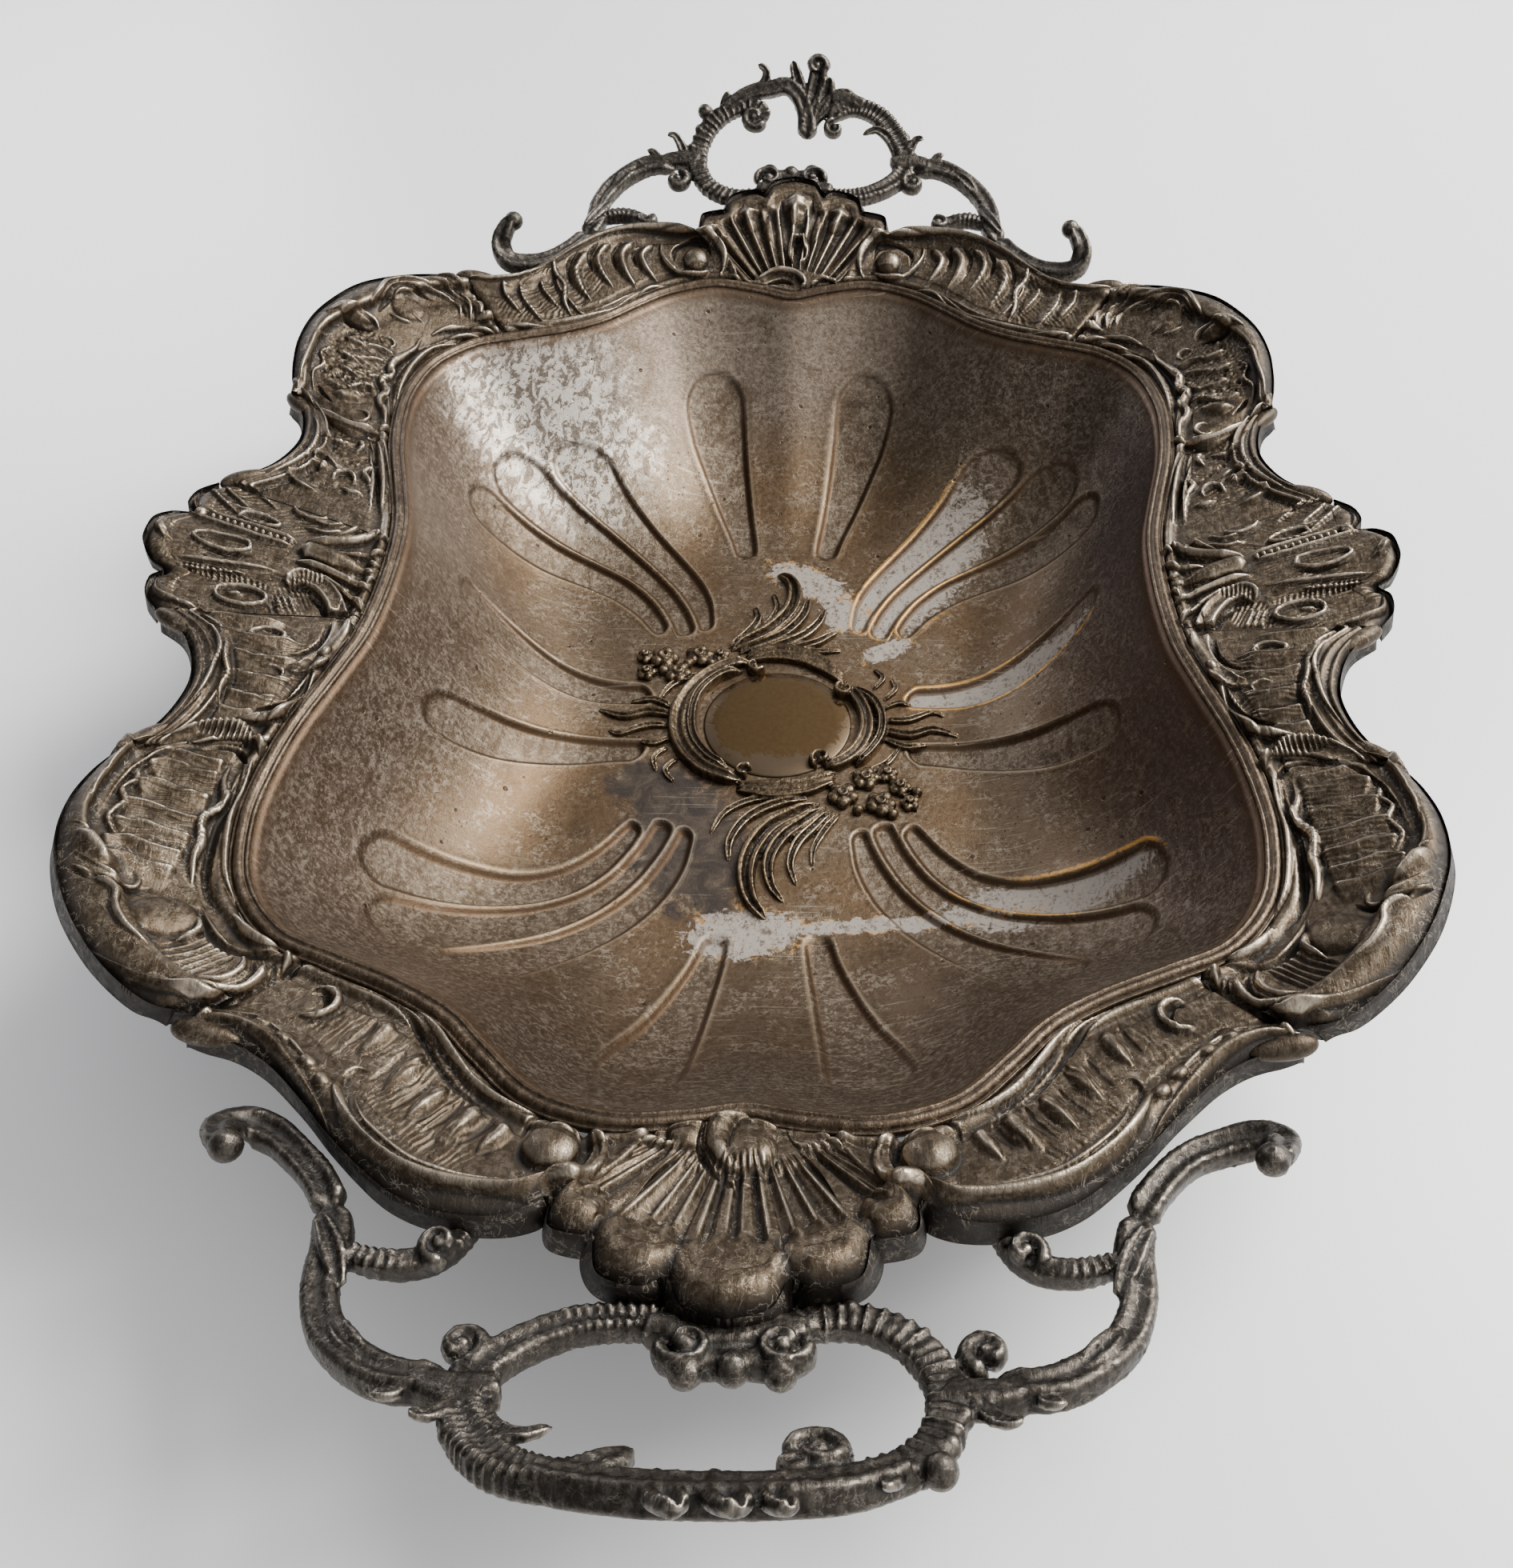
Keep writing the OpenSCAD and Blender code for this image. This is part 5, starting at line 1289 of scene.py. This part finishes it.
def blossom(c, x, y, radius):
    """Five rounded petals round a ringed eye."""
    for k in range(5):
        a = math.radians(72 * k + 17 * x)
        c.ball(x + 0.62 * radius * math.cos(a), y + 0.62 * radius * math.sin(a), 0.7, radius * 0.5, 0.85, 8,
               12)
    turn = np.radians(np.linspace(0, 360, 9))
    c.bar([(x + 0.3 * radius * math.cos(t), y + 0.3 * radius * math.sin(t), 2, 1) for t in turn], 0.9, 1.3,
          "round", taper=(0, 0), sides=8)
    c.ball(x, y, 1.7, radius * 0.16, 1.2, 6, 8)
    c.ball(x, y, 0.4, radius * 0.5, 1, 8, 12)


# ---------------------------------------------------------------- materials
class Graph:
    """Short names for the shader nodes of one material."""

    def __init__(self, name):
        self.material = bpy.data.materials.new(name)
        self.material.use_nodes = True
        self.tree = self.material.node_tree
        self.shader = self.tree.nodes["Principled BSDF"]
        self.place = self.tree.nodes.new("ShaderNodeTexCoord").outputs["Object"]

    def put(self, socket, value):
        """Sets a socket to a value, or links another socket to it."""
        if isinstance(value, bpy.types.NodeSocket):
            self.tree.links.new(value, socket)
        else:
            socket.default_value = value

    def math(self, operation, a, b=0.0):
        """Result of one arithmetic step."""
        node = self.tree.nodes.new("ShaderNodeMath")
        node.operation = operation
        self.put(node.inputs[0], a)
        self.put(node.inputs[1], b)
        return node.outputs[0]

    def times(self, a, b):
        """Product."""
        return self.math("MULTIPLY", a, b)

    def plus(self, a, b):
        """Sum."""
        return self.math("ADD", a, b)

    def minus(self, a, b):
        """Difference."""
        return self.math("SUBTRACT", a, b)

    def most(self, a, b):
        """The larger of two."""
        return self.math("MAXIMUM", a, b)

    def lay(self, under, over, mask, amount):
        """Colour with another laid over it where a mask is set, up to an amount."""
        return self.mix(self.times(mask, amount), under, over)

    def stir(self, value, noise, amount):
        """Value made uneven by a noise, up or down by half the amount."""
        return self.plus(value, self.times(self.minus(noise, 0.5), amount))

    def noise(self, size, detail=4.0, rough=0.55, warp=0.0, stretch=None, turn=0.0):
        """Noise whose features are about size millimetres across."""
        node = self.tree.nodes.new("ShaderNodeTexNoise")
        node.inputs["Scale"].default_value = 1 / (size * MM)
        node.inputs["Detail"].default_value = detail
        node.inputs["Roughness"].default_value = rough
        node.inputs["Distortion"].default_value = warp
        if stretch:
            mapping = self.tree.nodes.new("ShaderNodeMapping")
            mapping.inputs["Rotation"].default_value = (0, 0, math.radians(turn))
            mapping.inputs["Scale"].default_value = stretch
            self.put(mapping.inputs["Vector"], self.place)
            self.put(node.inputs["Vector"], mapping.outputs[0])
        else:
            self.put(node.inputs["Vector"], self.place)
        return node.outputs["Fac"]

    def cells(self, size):
        """Scattered cells about size millimetres apart."""
        node = self.tree.nodes.new("ShaderNodeTexVoronoi")
        node.inputs["Scale"].default_value = 1 / (size * MM)
        node.inputs["Randomness"].default_value = 1.0
        self.put(node.inputs["Vector"], self.place)
        return node

    def span(self, value, low, high, to_low=0.0, to_high=1.0):
        """Value remapped smoothly from low..high."""
        node = self.tree.nodes.new("ShaderNodeMapRange")
        node.interpolation_type = "SMOOTHSTEP"
        for k, v in enumerate((value, low, high, to_low, to_high)):
            self.put(node.inputs[k], v)
        return node.outputs[0]

    def mix(self, share, a, b):
        """Blend of two colours by a share."""
        node = self.tree.nodes.new("ShaderNodeMix")
        node.data_type = "RGBA"
        self.put(node.inputs[0], share)
        for socket, value in ((node.inputs[6], a), (node.inputs[7], b)):
            self.put(socket, value if isinstance(value, bpy.types.NodeSocket) else (*value, 1))
        return node.outputs[2]

    def value_of(self, name):
        """Number stored for the point."""
        node = self.tree.nodes.new("ShaderNodeAttribute")
        node.attribute_name = name
        return node.outputs["Fac"]

    def spot(self, x, y, rx, ry, turn=0.0, ragged=None, rag=0.5):
        """Oval mask on the plan, in millimetres, with an edge broken up by noise."""
        shift = self.tree.nodes.new("ShaderNodeMapping")
        shift.vector_type = "TEXTURE"
        shift.inputs["Location"].default_value = (x * MM, y * MM, 0)
        shift.inputs["Rotation"].default_value = (0, 0, math.radians(turn))
        shift.inputs["Scale"].default_value = (rx * MM, ry * MM, 1)
        self.put(shift.inputs["Vector"], self.place)
        flat = self.tree.nodes.new("ShaderNodeVectorMath")
        flat.operation = "MULTIPLY"
        self.put(flat.inputs[0], shift.outputs[0])
        flat.inputs[1].default_value = (1, 1, 0)
        size = self.tree.nodes.new("ShaderNodeVectorMath")
        size.operation = "LENGTH"
        self.put(size.inputs[0], flat.outputs[0])
        distance = size.outputs["Value"]
        if ragged is not None:
            wave = self.times(self.minus(ragged, 0.5), rag * 4)
            distance = self.plus(distance, wave)
        return distance

    def bump(self, height, strength, distance_mm):
        """Roughens the surface by a height."""
        node = self.tree.nodes.new("ShaderNodeBump")
        node.inputs["Strength"].default_value = strength
        node.inputs["Distance"].default_value = distance_mm * MM
        self.put(node.inputs["Height"], height)
        self.put(self.shader.inputs["Normal"], node.outputs[0])

    def finish(self, colour, rough, metallic):
        """The finished material."""
        self.put(self.shader.inputs["Base Color"], colour)
        self.put(self.shader.inputs["Roughness"], rough)
        self.put(self.shader.inputs["Metallic"], metallic)
        return self.material


def chased_silver(name, deep, middle, bright, rough=0.42, dark_start=0.52, dark_end=0.85):
    """Tarnished plate on raised work: dark in the hollows, rubbed bright on the ridges."""
    g = Graph(name)
    recess = g.value_of("recess")
    cloud = g.noise(14, 5, 0.6)
    mottle = g.noise(1.6, 6, 0.7, 0.4)
    grain = g.noise(0.45, 3, 0.6)
    ground = g.mix(g.span(cloud, 0.38, 0.64), [0.86 * c for c in middle], [1.12 * c for c in middle])
    ground = g.mix(g.span(mottle, 0.42, 0.66, 0.0, 0.55), ground,
                   [0.62 * m + 0.3 * b for m, b in zip(middle, bright)])
    hollow = g.span(g.stir(recess, mottle, 0.35),
                    dark_start, dark_end)
    ground = g.lay(ground, deep, hollow, 0.92)
    raised = g.span(g.stir(recess, mottle, 0.4), 0.36, 0.08)
    colour = g.lay(ground, bright, raised, 0.85)
    roughness = g.plus(g.span(mottle, 0.3, 0.7, rough - 0.08, rough + 0.1),
                       g.minus(g.times(hollow, 0.22), g.times(raised, 0.1)))
    vein = g.math("ABSOLUTE", g.minus(g.noise(3.4, 5, 0.62, 0.9), 0.5))
    vein = g.times(g.span(vein, 0.018, 0.004), g.span(cloud, 0.4, 0.55))
    colour = g.mix(g.times(vein, 0.38), colour, [1.1 * c for c in bright])
    cuts = g.noise(0.9, 3, 0.6, 0.3, (1.0, 0.18, 0.5), 20)
    colour = g.mix(g.times(g.span(cuts, 0.5, 0.38), 0.35), colour, deep)
    height = g.plus(grain, g.times(mottle, 1.4))
    height = g.plus(height, g.times(cuts, 1.6))
    g.bump(height, 0.45, 0.14)
    g.shader.inputs["Specular IOR Level"].default_value = 0.5
    return g.finish(colour, roughness, g.minus(0.95, g.times(hollow, 0.5)))


def height_above(g):
    """Height above the table, in metres."""
    split = g.tree.nodes.new("ShaderNodeSeparateXYZ")
    g.put(split.inputs[0], g.place)
    return split.outputs["Z"]


def basin_silver():
    """Worn plate of the basin: grainy tarnish, pits, scratches, bare patches and a dark stain, with painted
    highlights and painted shade.
    """
    g = Graph("basin_plate_wear_and_painted_light")
    recess = g.value_of("recess")
    flute = g.value_of("flute_floor")
    inside = g.value_of("inside")
    cloud = g.noise(34, 4, 0.55, 0.6)
    blotch = g.noise(6, 6, 0.7, 0.8)
    speck = g.noise(1.1, 5, 0.75, 0.5)
    smear = g.noise(2.4, 5, 0.75, 0.6, (1.0, 0.42, 1.0), 35)
    grain = g.noise(0.3, 2, 0.6)
    brown, dusk, pale = (0.128, 0.083, 0.047), (0.06, 0.038, 0.022), (0.36, 0.31, 0.25)
    ground = g.mix(g.span(cloud, 0.38, 0.62), brown, (0.137, 0.099, 0.064))
    up_wall = g.span(height_above(g), 0.006, 0.03)
    wall_tone = g.mix(g.span(smear, 0.42, 0.58), (0.057, 0.044, 0.035), (0.125, 0.101, 0.082))
    ground = g.lay(ground, wall_tone, up_wall, 0.75)
    # Painted highlight: the far wall is laid lighter where it faces the bright room.
    far_wall_highlight = g.times(up_wall, g.span(g.spot(-4, 128, 70, 50, 0), 1.1, 0.5))
    ground = g.lay(ground, (0.26, 0.205, 0.155), far_wall_highlight, 0.6)
    # Painted shade: the near part of the basin, floor and flute panels, is laid darker as a dark reflection.
    near_side_shade = g.span(g.spot(6, -118, 92, 58, 0), 1.15, 0.7)
    ground = g.lay(ground, (0.068, 0.048, 0.031), near_side_shade, 0.5)
    panel = g.mix(g.span(smear, 0.4, 0.6), (0.082, 0.06, 0.041), (0.172, 0.135, 0.098))
    panel = g.lay(panel, (0.068, 0.048, 0.031), near_side_shade, 0.35)
    colour = g.lay(ground, panel, flute, 0.8)
    colour = g.mix(g.times(g.span(speck, 0.56, 0.34), 0.5), colour, dusk)
    flakes = g.times(g.span(blotch, 0.46, 0.62), g.span(speck, 0.48, 0.56))
    flakes = g.most(flakes, g.times(up_wall, g.span(speck, 0.5, 0.6, 0.0, 0.8)))
    fleck = g.times(flute, g.span(speck, 0.52, 0.62))
    colour = g.mix(g.times(g.most(flakes, fleck), 0.36), colour, pale)
    colour = g.mix(g.times(g.span(g.noise(13, 5, 0.6, 0.5), 0.54, 0.7), 0.5), colour, dusk)
    # Painted highlight of pale silver high on the far left wall, painted dark violet-brown reflection up the
    # right wall, and a dark stain by the cartouche.
    bright = g.times(g.span(g.spot(-66, 92, 34, 26, -20, blotch, 0.35), 1.1, 0.45),
                    g.span(smear, 0.46, 0.53, 0.12, 1.0))
    bright = g.times(bright, inside)
    colour = g.lay(colour, (0.62, 0.56, 0.485), bright, 0.8)
    # Painted shade: the right wall is laid darker violet-brown as a dark reflection.
    right_wall_shade = g.span(g.spot(95, -4, 24, 92, 0, blotch, 0.3), 1.1, 0.5)
    colour = g.lay(colour, (0.095, 0.068, 0.066), right_wall_shade, 0.6)
    stain = g.span(g.spot(-19, -38, 15, 24, 20, blotch, 0.45), 1.05, 0.7)
    stain_two = g.span(g.spot(-29, -20, 11, 8, 0, blotch, 0.4), 1.05, 0.7)
    stain = g.times(g.most(stain, stain_two), inside)
    stained = g.mix(g.span(blotch, 0.36, 0.62), (0.04, 0.035, 0.034), (0.082, 0.066, 0.052))
    colour = g.lay(colour, stained, stain, 0.88)
    # Bare patches where the plate is gone; the ones in the far right flutes keep to their floors.
    edge = g.noise(3.2, 7, 0.78, 1.4)

    def nearest(patches):
        """Distance to the nearest of some ragged ovals."""
        distance = None
        for x, y, rx, ry, turn in patches:
            d = g.spot(x, y, rx, ry, turn, edge, 0.6)
            distance = d if distance is None else g.math("MINIMUM", distance, d)
        return distance

    fluted = nearest([(33, 56, 30, 13, 52), (47, 12, 27, 7, 8), (60, -56, 22, 7, 6)])
    open_floor = nearest([(7, 54, 12, 5.4, -32), (17, 41, 6.5, 7, 30), (-5, -64, 12, 6.4, 6),
                          (29, -60.5, 24, 2.2, 5), (27, 27, 7, 3, 30)])
    in_flutes = g.times(g.span(fluted, 1.06, 0.94), g.span(flute, 0.25, 0.6))
    bare = g.most(in_flutes, g.span(open_floor, 1.04, 0.97))
    bare = g.times(bare, inside)
    bare = g.times(bare, g.span(g.plus(speck, g.times(smear, 0.6)), 0.66, 0.8, 0.25, 1.0))
    rust_edge = g.times(g.span(fluted, 1.25, 0.9), g.times(g.span(recess, 0.49, 0.36),
                                                                       g.span(blotch, 0.38, 0.46)))
    rust_open = g.times(g.times(g.span(open_floor, 1.2, 1.06), g.span(open_floor, 0.9, 1.02)),
                       g.span(blotch, 0.5, 0.58))
    colour = g.lay(colour, (0.34, 0.305, 0.265), bare, 0.85)
    rust = g.times(g.most(rust_edge, rust_open), g.times(inside, 0.9))
    colour = g.mix(rust, colour, (0.52, 0.27, 0.06))
    # Pits, and dirt with painted shade along the steps of the flutes.
    cell = g.cells(6.5)
    pit = g.times(g.span(cell.outputs["Distance"], 0.1, 0.06), g.span(blotch, 0.42, 0.56))
    small = g.cells(2.1)
    pit_small = g.times(g.span(small.outputs["Distance"], 0.14, 0.08), g.span(cloud, 0.45, 0.6))
    pits = g.most(pit, g.times(pit_small, 0.7))
    colour = g.lay(colour, (0.03, 0.018, 0.011), pits, 0.85)
    # Dirt and painted shade where the recess marks are high, along the flute steps and below the lip.
    dirt_and_shade = g.span(g.stir(recess, speck, 0.25), 0.56, 0.8)
    colour = g.lay(colour, (0.075, 0.045, 0.025), dirt_and_shade, 0.8)
    # Painted highlight with rubbed wear where the recess marks are low, on the edges of the flute steps.
    rub_and_highlight = g.span(recess, 0.42, 0.2)
    colour = g.lay(colour, (0.42, 0.33, 0.22), rub_and_highlight, 0.35)
    # Fine scratches in three directions.
    lines = None
    for turn, seed in ((24, 0.9), (-38, 0.7), (80, 0.8)):
        s = g.span(g.noise(1, 2, 0.5, 0, (0.035, 1.6 * seed, 0.2), turn), 0.665, 0.70)
        lines = s if lines is None else g.most(lines, s)
    lines = g.times(g.times(lines, inside), g.span(cloud, 0.42, 0.56))
    colour = g.lay(colour, (0.5, 0.42, 0.33), lines, 0.2)
    rough = g.plus(g.span(speck, 0.3, 0.7, 0.38, 0.5), g.times(bare, 0.2))
    rough = g.plus(rough, g.times(flute, 0.06))
    height = g.plus(g.times(speck, 1.2), g.times(grain, 0.5))
    height = g.plus(height, g.times(smear, g.plus(0.6, g.times(flute, 1.0))))
    height = g.minus(height, g.times(pits, 2.0))
    g.bump(height, 0.5, 0.15)
    rough = g.plus(rough, g.times(stain, 0.12))
    g.put(g.shader.inputs["Specular IOR Level"], g.minus(0.5, g.times(stain, 0.35)))
    metal = g.minus(0.93, g.times(bare, 0.5))
    return g.finish(colour, rough, metal)


def plaque_silver():
    """Polished brown plaque with a worn grey margin."""
    g = Graph("plaque_polish")
    speck = g.noise(1.2, 5, 0.7, 0.3)
    ragged = g.noise(3.5, 5, 0.7, 0.8)
    margin = g.span(g.spot(0, 1.5, 16.2, 15.4, 0, ragged, 0.25), 0.88, 1.1)
    near = g.span(g.spot(2, -17, 15, 6.5, 0, ragged, 0.5), 1.1, 0.8)
    worn = g.most(margin, near)
    colour = g.mix(g.span(speck, 0.3, 0.7), (0.115, 0.070, 0.030), (0.14, 0.088, 0.040))
    colour = g.lay(colour, (0.085, 0.066, 0.048), worn, 0.7)
    rough = g.span(worn, 0, 1, 0.16, 0.42)
    g.bump(g.times(speck, worn), 0.25, 0.08)
    return g.finish(colour, rough, 0.95)


def table_top():
    """Pale satin table."""
    g = Graph("pale_table")
    tint = g.mix(g.span(g.noise(400, 2), 0.3, 0.7), (0.86, 0.865, 0.87), (0.90, 0.90, 0.90))
    return g.finish(tint, 0.32, 0.0)


# ---------------------------------------------------------------- stage, light and camera
# The camera: place in metres, tilt below level, roll and turn in degrees, lens and sensor in millimetres.
CAMERA_PLACE = (0.01306, -0.24969, 0.25)
CAMERA_PITCH = 47.2017
CAMERA_ROLL = 0.998
CAMERA_YAW = 0.2422
CAMERA_LENS = 33.061
CAMERA_SENSOR = 36
CAMERA_SHIFT = -0.0496


def build_stage():
    """The table."""
    x = np.linspace(-1800, 1800, 13)
    gx, gy = np.meshgrid(x, x, indexing="ij")
    floor = new_object("table", np.stack([gx, gy + 600, 0 * gx - 0.05], axis=-1).reshape(-1, 3),
                       grid_faces(13, 13)[:, ::-1])
    floor.data.materials.append(table_top())


def area_light(name, place, target, size, power, colour):
    """Rectangular light in metres, facing a target."""
    data = bpy.data.lights.new(name, "AREA")
    data.shape = "RECTANGLE"
    data.size, data.size_y = size
    data.energy = power
    data.color = colour
    light = bpy.data.objects.new(name, data)
    bpy.context.scene.collection.objects.link(light)
    toward = np.array(target, float) - np.array(place, float)
    toward /= np.linalg.norm(toward)
    side = np.cross(toward, (0, 0, 1))
    side /= np.linalg.norm(side)
    up = np.cross(side, toward)
    turn = Matrix((side, up, -toward)).transposed().to_4x4()
    light.matrix_world = Matrix.Translation(place) @ turn


def build_lights():
    """Soft room that is brighter to the right, and two windows."""
    world = bpy.data.worlds.new("soft_room")
    bpy.context.scene.world = world
    world.use_nodes = True
    back = world.node_tree.nodes["Background"]
    tree = world.node_tree
    where = tree.nodes.new("ShaderNodeTexCoord")
    split = tree.nodes.new("ShaderNodeSeparateXYZ")
    tree.links.new(where.outputs["Generated"], split.inputs[0])
    level = tree.nodes.new("ShaderNodeMapRange")
    level.interpolation_type = "SMOOTHSTEP"
    for k, v in enumerate((-0.7, 0.8, 0.3, 1.9)):
        level.inputs[k + 1].default_value = v
    tree.links.new(split.outputs["X"], level.inputs[0])
    tree.links.new(level.outputs[0], back.inputs["Strength"])
    back.inputs["Color"].default_value = (0.82, 0.82, 0.83, 1)
    area_light("window_right", (0.95, 0.45, 1.05), (0, 0, 0), (0.8, 0.8), 46, (1.0, 0.985, 0.96))
    area_light("window_left_far", (-1.1, 1.7, 0.75), (0, 0, 0.02), (0.8, 0.6), 12, (0.9, 0.92, 1.0))


def build_camera():
    """The view of the photo."""
    data = bpy.data.cameras.new("view")
    data.lens = CAMERA_LENS
    data.sensor_width = CAMERA_SENSOR
    data.shift_x = CAMERA_SHIFT
    data.clip_start = 0.01
    data.clip_end = 20
    camera = bpy.data.objects.new("view", data)
    bpy.context.scene.collection.objects.link(camera)
    turn = (Matrix.Rotation(math.radians(-CAMERA_YAW), 4, "Z")
            @ Matrix.Rotation(math.radians(90 - CAMERA_PITCH), 4, "X")
            @ Matrix.Rotation(math.radians(CAMERA_ROLL), 4, "Z"))
    camera.matrix_world = Matrix.Translation(CAMERA_PLACE) @ turn
    bpy.context.scene.camera = camera


# ---------------------------------------------------------------- assembly
def place(built, material, slot, *nodes):
    """Gives a piece its material, recess values and body, and hides the frame nodes it stands for; the slot
    is not used.
    """
    obj, recess = built if isinstance(built, tuple) else (built, None)
    obj.data.materials.append(material)
    if recess is None:
        mark_recesses(obj)
    else:
        set_values(obj, "recess", recess)
    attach(obj, "root")
    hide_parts(*nodes)


struck = chased_silver("struck_mount_plate", (0.009, 0.006, 0.004), (0.069, 0.050, 0.032),
                       (0.41, 0.345, 0.265))
moulding = chased_silver("rubbed_moulding", (0.012, 0.008, 0.005), (0.078, 0.055, 0.036), (0.34, 0.27, 0.2),
                         0.4)
gilt = chased_silver("cartouche_plate", (0.010, 0.007, 0.005), (0.07, 0.048, 0.028), (0.42, 0.32, 0.2), 0.36)
cast = chased_silver("cast_handle_plate", (0.006, 0.0055, 0.005), (0.042, 0.036, 0.030), (0.27, 0.24, 0.20),
                     0.4)

build_stage()
build_lights()
build_camera()
place(build_basin(), basin_silver(), "basin_plate", "basin")
place(build_lip(), moulding, "bright_moulding", "lip_bead")
plaque = turned("plaque_disc", [(radius, SHEET + lift) for radius,
                                lift in ((PLAQUE_RADIUS, 0), (PLAQUE_RADIUS, 0.25),
                                         (PLAQUE_RADIUS - 0.5, 0.5), (14, 0.7), (9, 0.92), (4, 1.06),
                                         (0.5, 1.1))])
place(plaque, plaque_silver(), "plaque", "plaque")
place(build_cartouche(), gilt, "bright_moulding", "cartouche")

for side, sx in (("left", -1), ("right", 1)):
    for end, sy in (("near", -1), ("far", 1)):
        near = sy < 0
        place(struck_mount(f"side_scroll_{side}_{end}_struck", (0.78, 3.42),
                           side_scroll_near if near else side_scroll_far, 190, 120, roll=SCROLL_ROLL,
                           mirror=(sx, sy), lip_side=BEAD_SIDE, end_lift=(0, 0.4), end_drop=(0.1, 1.4),
                           corner=(2.5, 3), horns=(1.9, 1.9)), struck, "struck_mount",
              f"side_scroll_{side}_{end}")
        place(struck_mount(f"corner_lobe_{side}_{end}_struck", (3.44, 7.66),
                           lobe_near if near else lobe_far, 320, 130, roll=LOBE_ROLL,
                           roll_wide=(0.45, 1.0) if near else (0.5, 0.75), mirror=(sx, sy),
                           lip_side=BEAD_SIDE, bulge=(0.55, 0.1), end_lift=(1.3, 0.8), corner=(1.6, 3)),
              struck, "struck_mount", f"corner_lobe_{side}_{end}")
        place(struck_mount(
            f"end_volute_{side}_{end}_struck", (7.7, 13.62), volute_near if near else volute_far, 360, 120,
            roll=VOLUTE_ROLL, mirror=(sx, sy), lip_side=BEAD_SIDE, bulge=(0, 0.25), end_lift=(0.2, 0.8),
            corner=(3.5, 0), horns=(2.1, 0)),
            struck, "struck_mount", f"end_volute_{side}_{end}")
    place(struck_mount(
        f"side_shell_{side}_struck", (-0.76, 0.76), side_shell_relief, 210, 236, roll=SHELL_ROLL,
        mirror=(sx, 1), lip_side=BEAD_SIDE, end_lift=(0, 0), end_drop=(0.1, 0.1)),
        struck, "struck_mount", f"side_shell_{side}")
for end, sy in (("near", -1), ("far", 1)):
    place(struck_mount(
        f"end_shell_{end}_struck", (13.64, 16.36), end_shell_near if sy < 0 else end_shell_far, 260, 180,
        roll=SHELL_ROLL, mirror=(1, sy), lip_side=PLAIN_SIDE, end_lift=(0.3, 0.3)),
        struck, "struck_mount", f"end_shell_{end}")
    place(build_handle(f"handle_{end}_cast", sy < 0), cast, "cast_handle", f"handle_{end}")
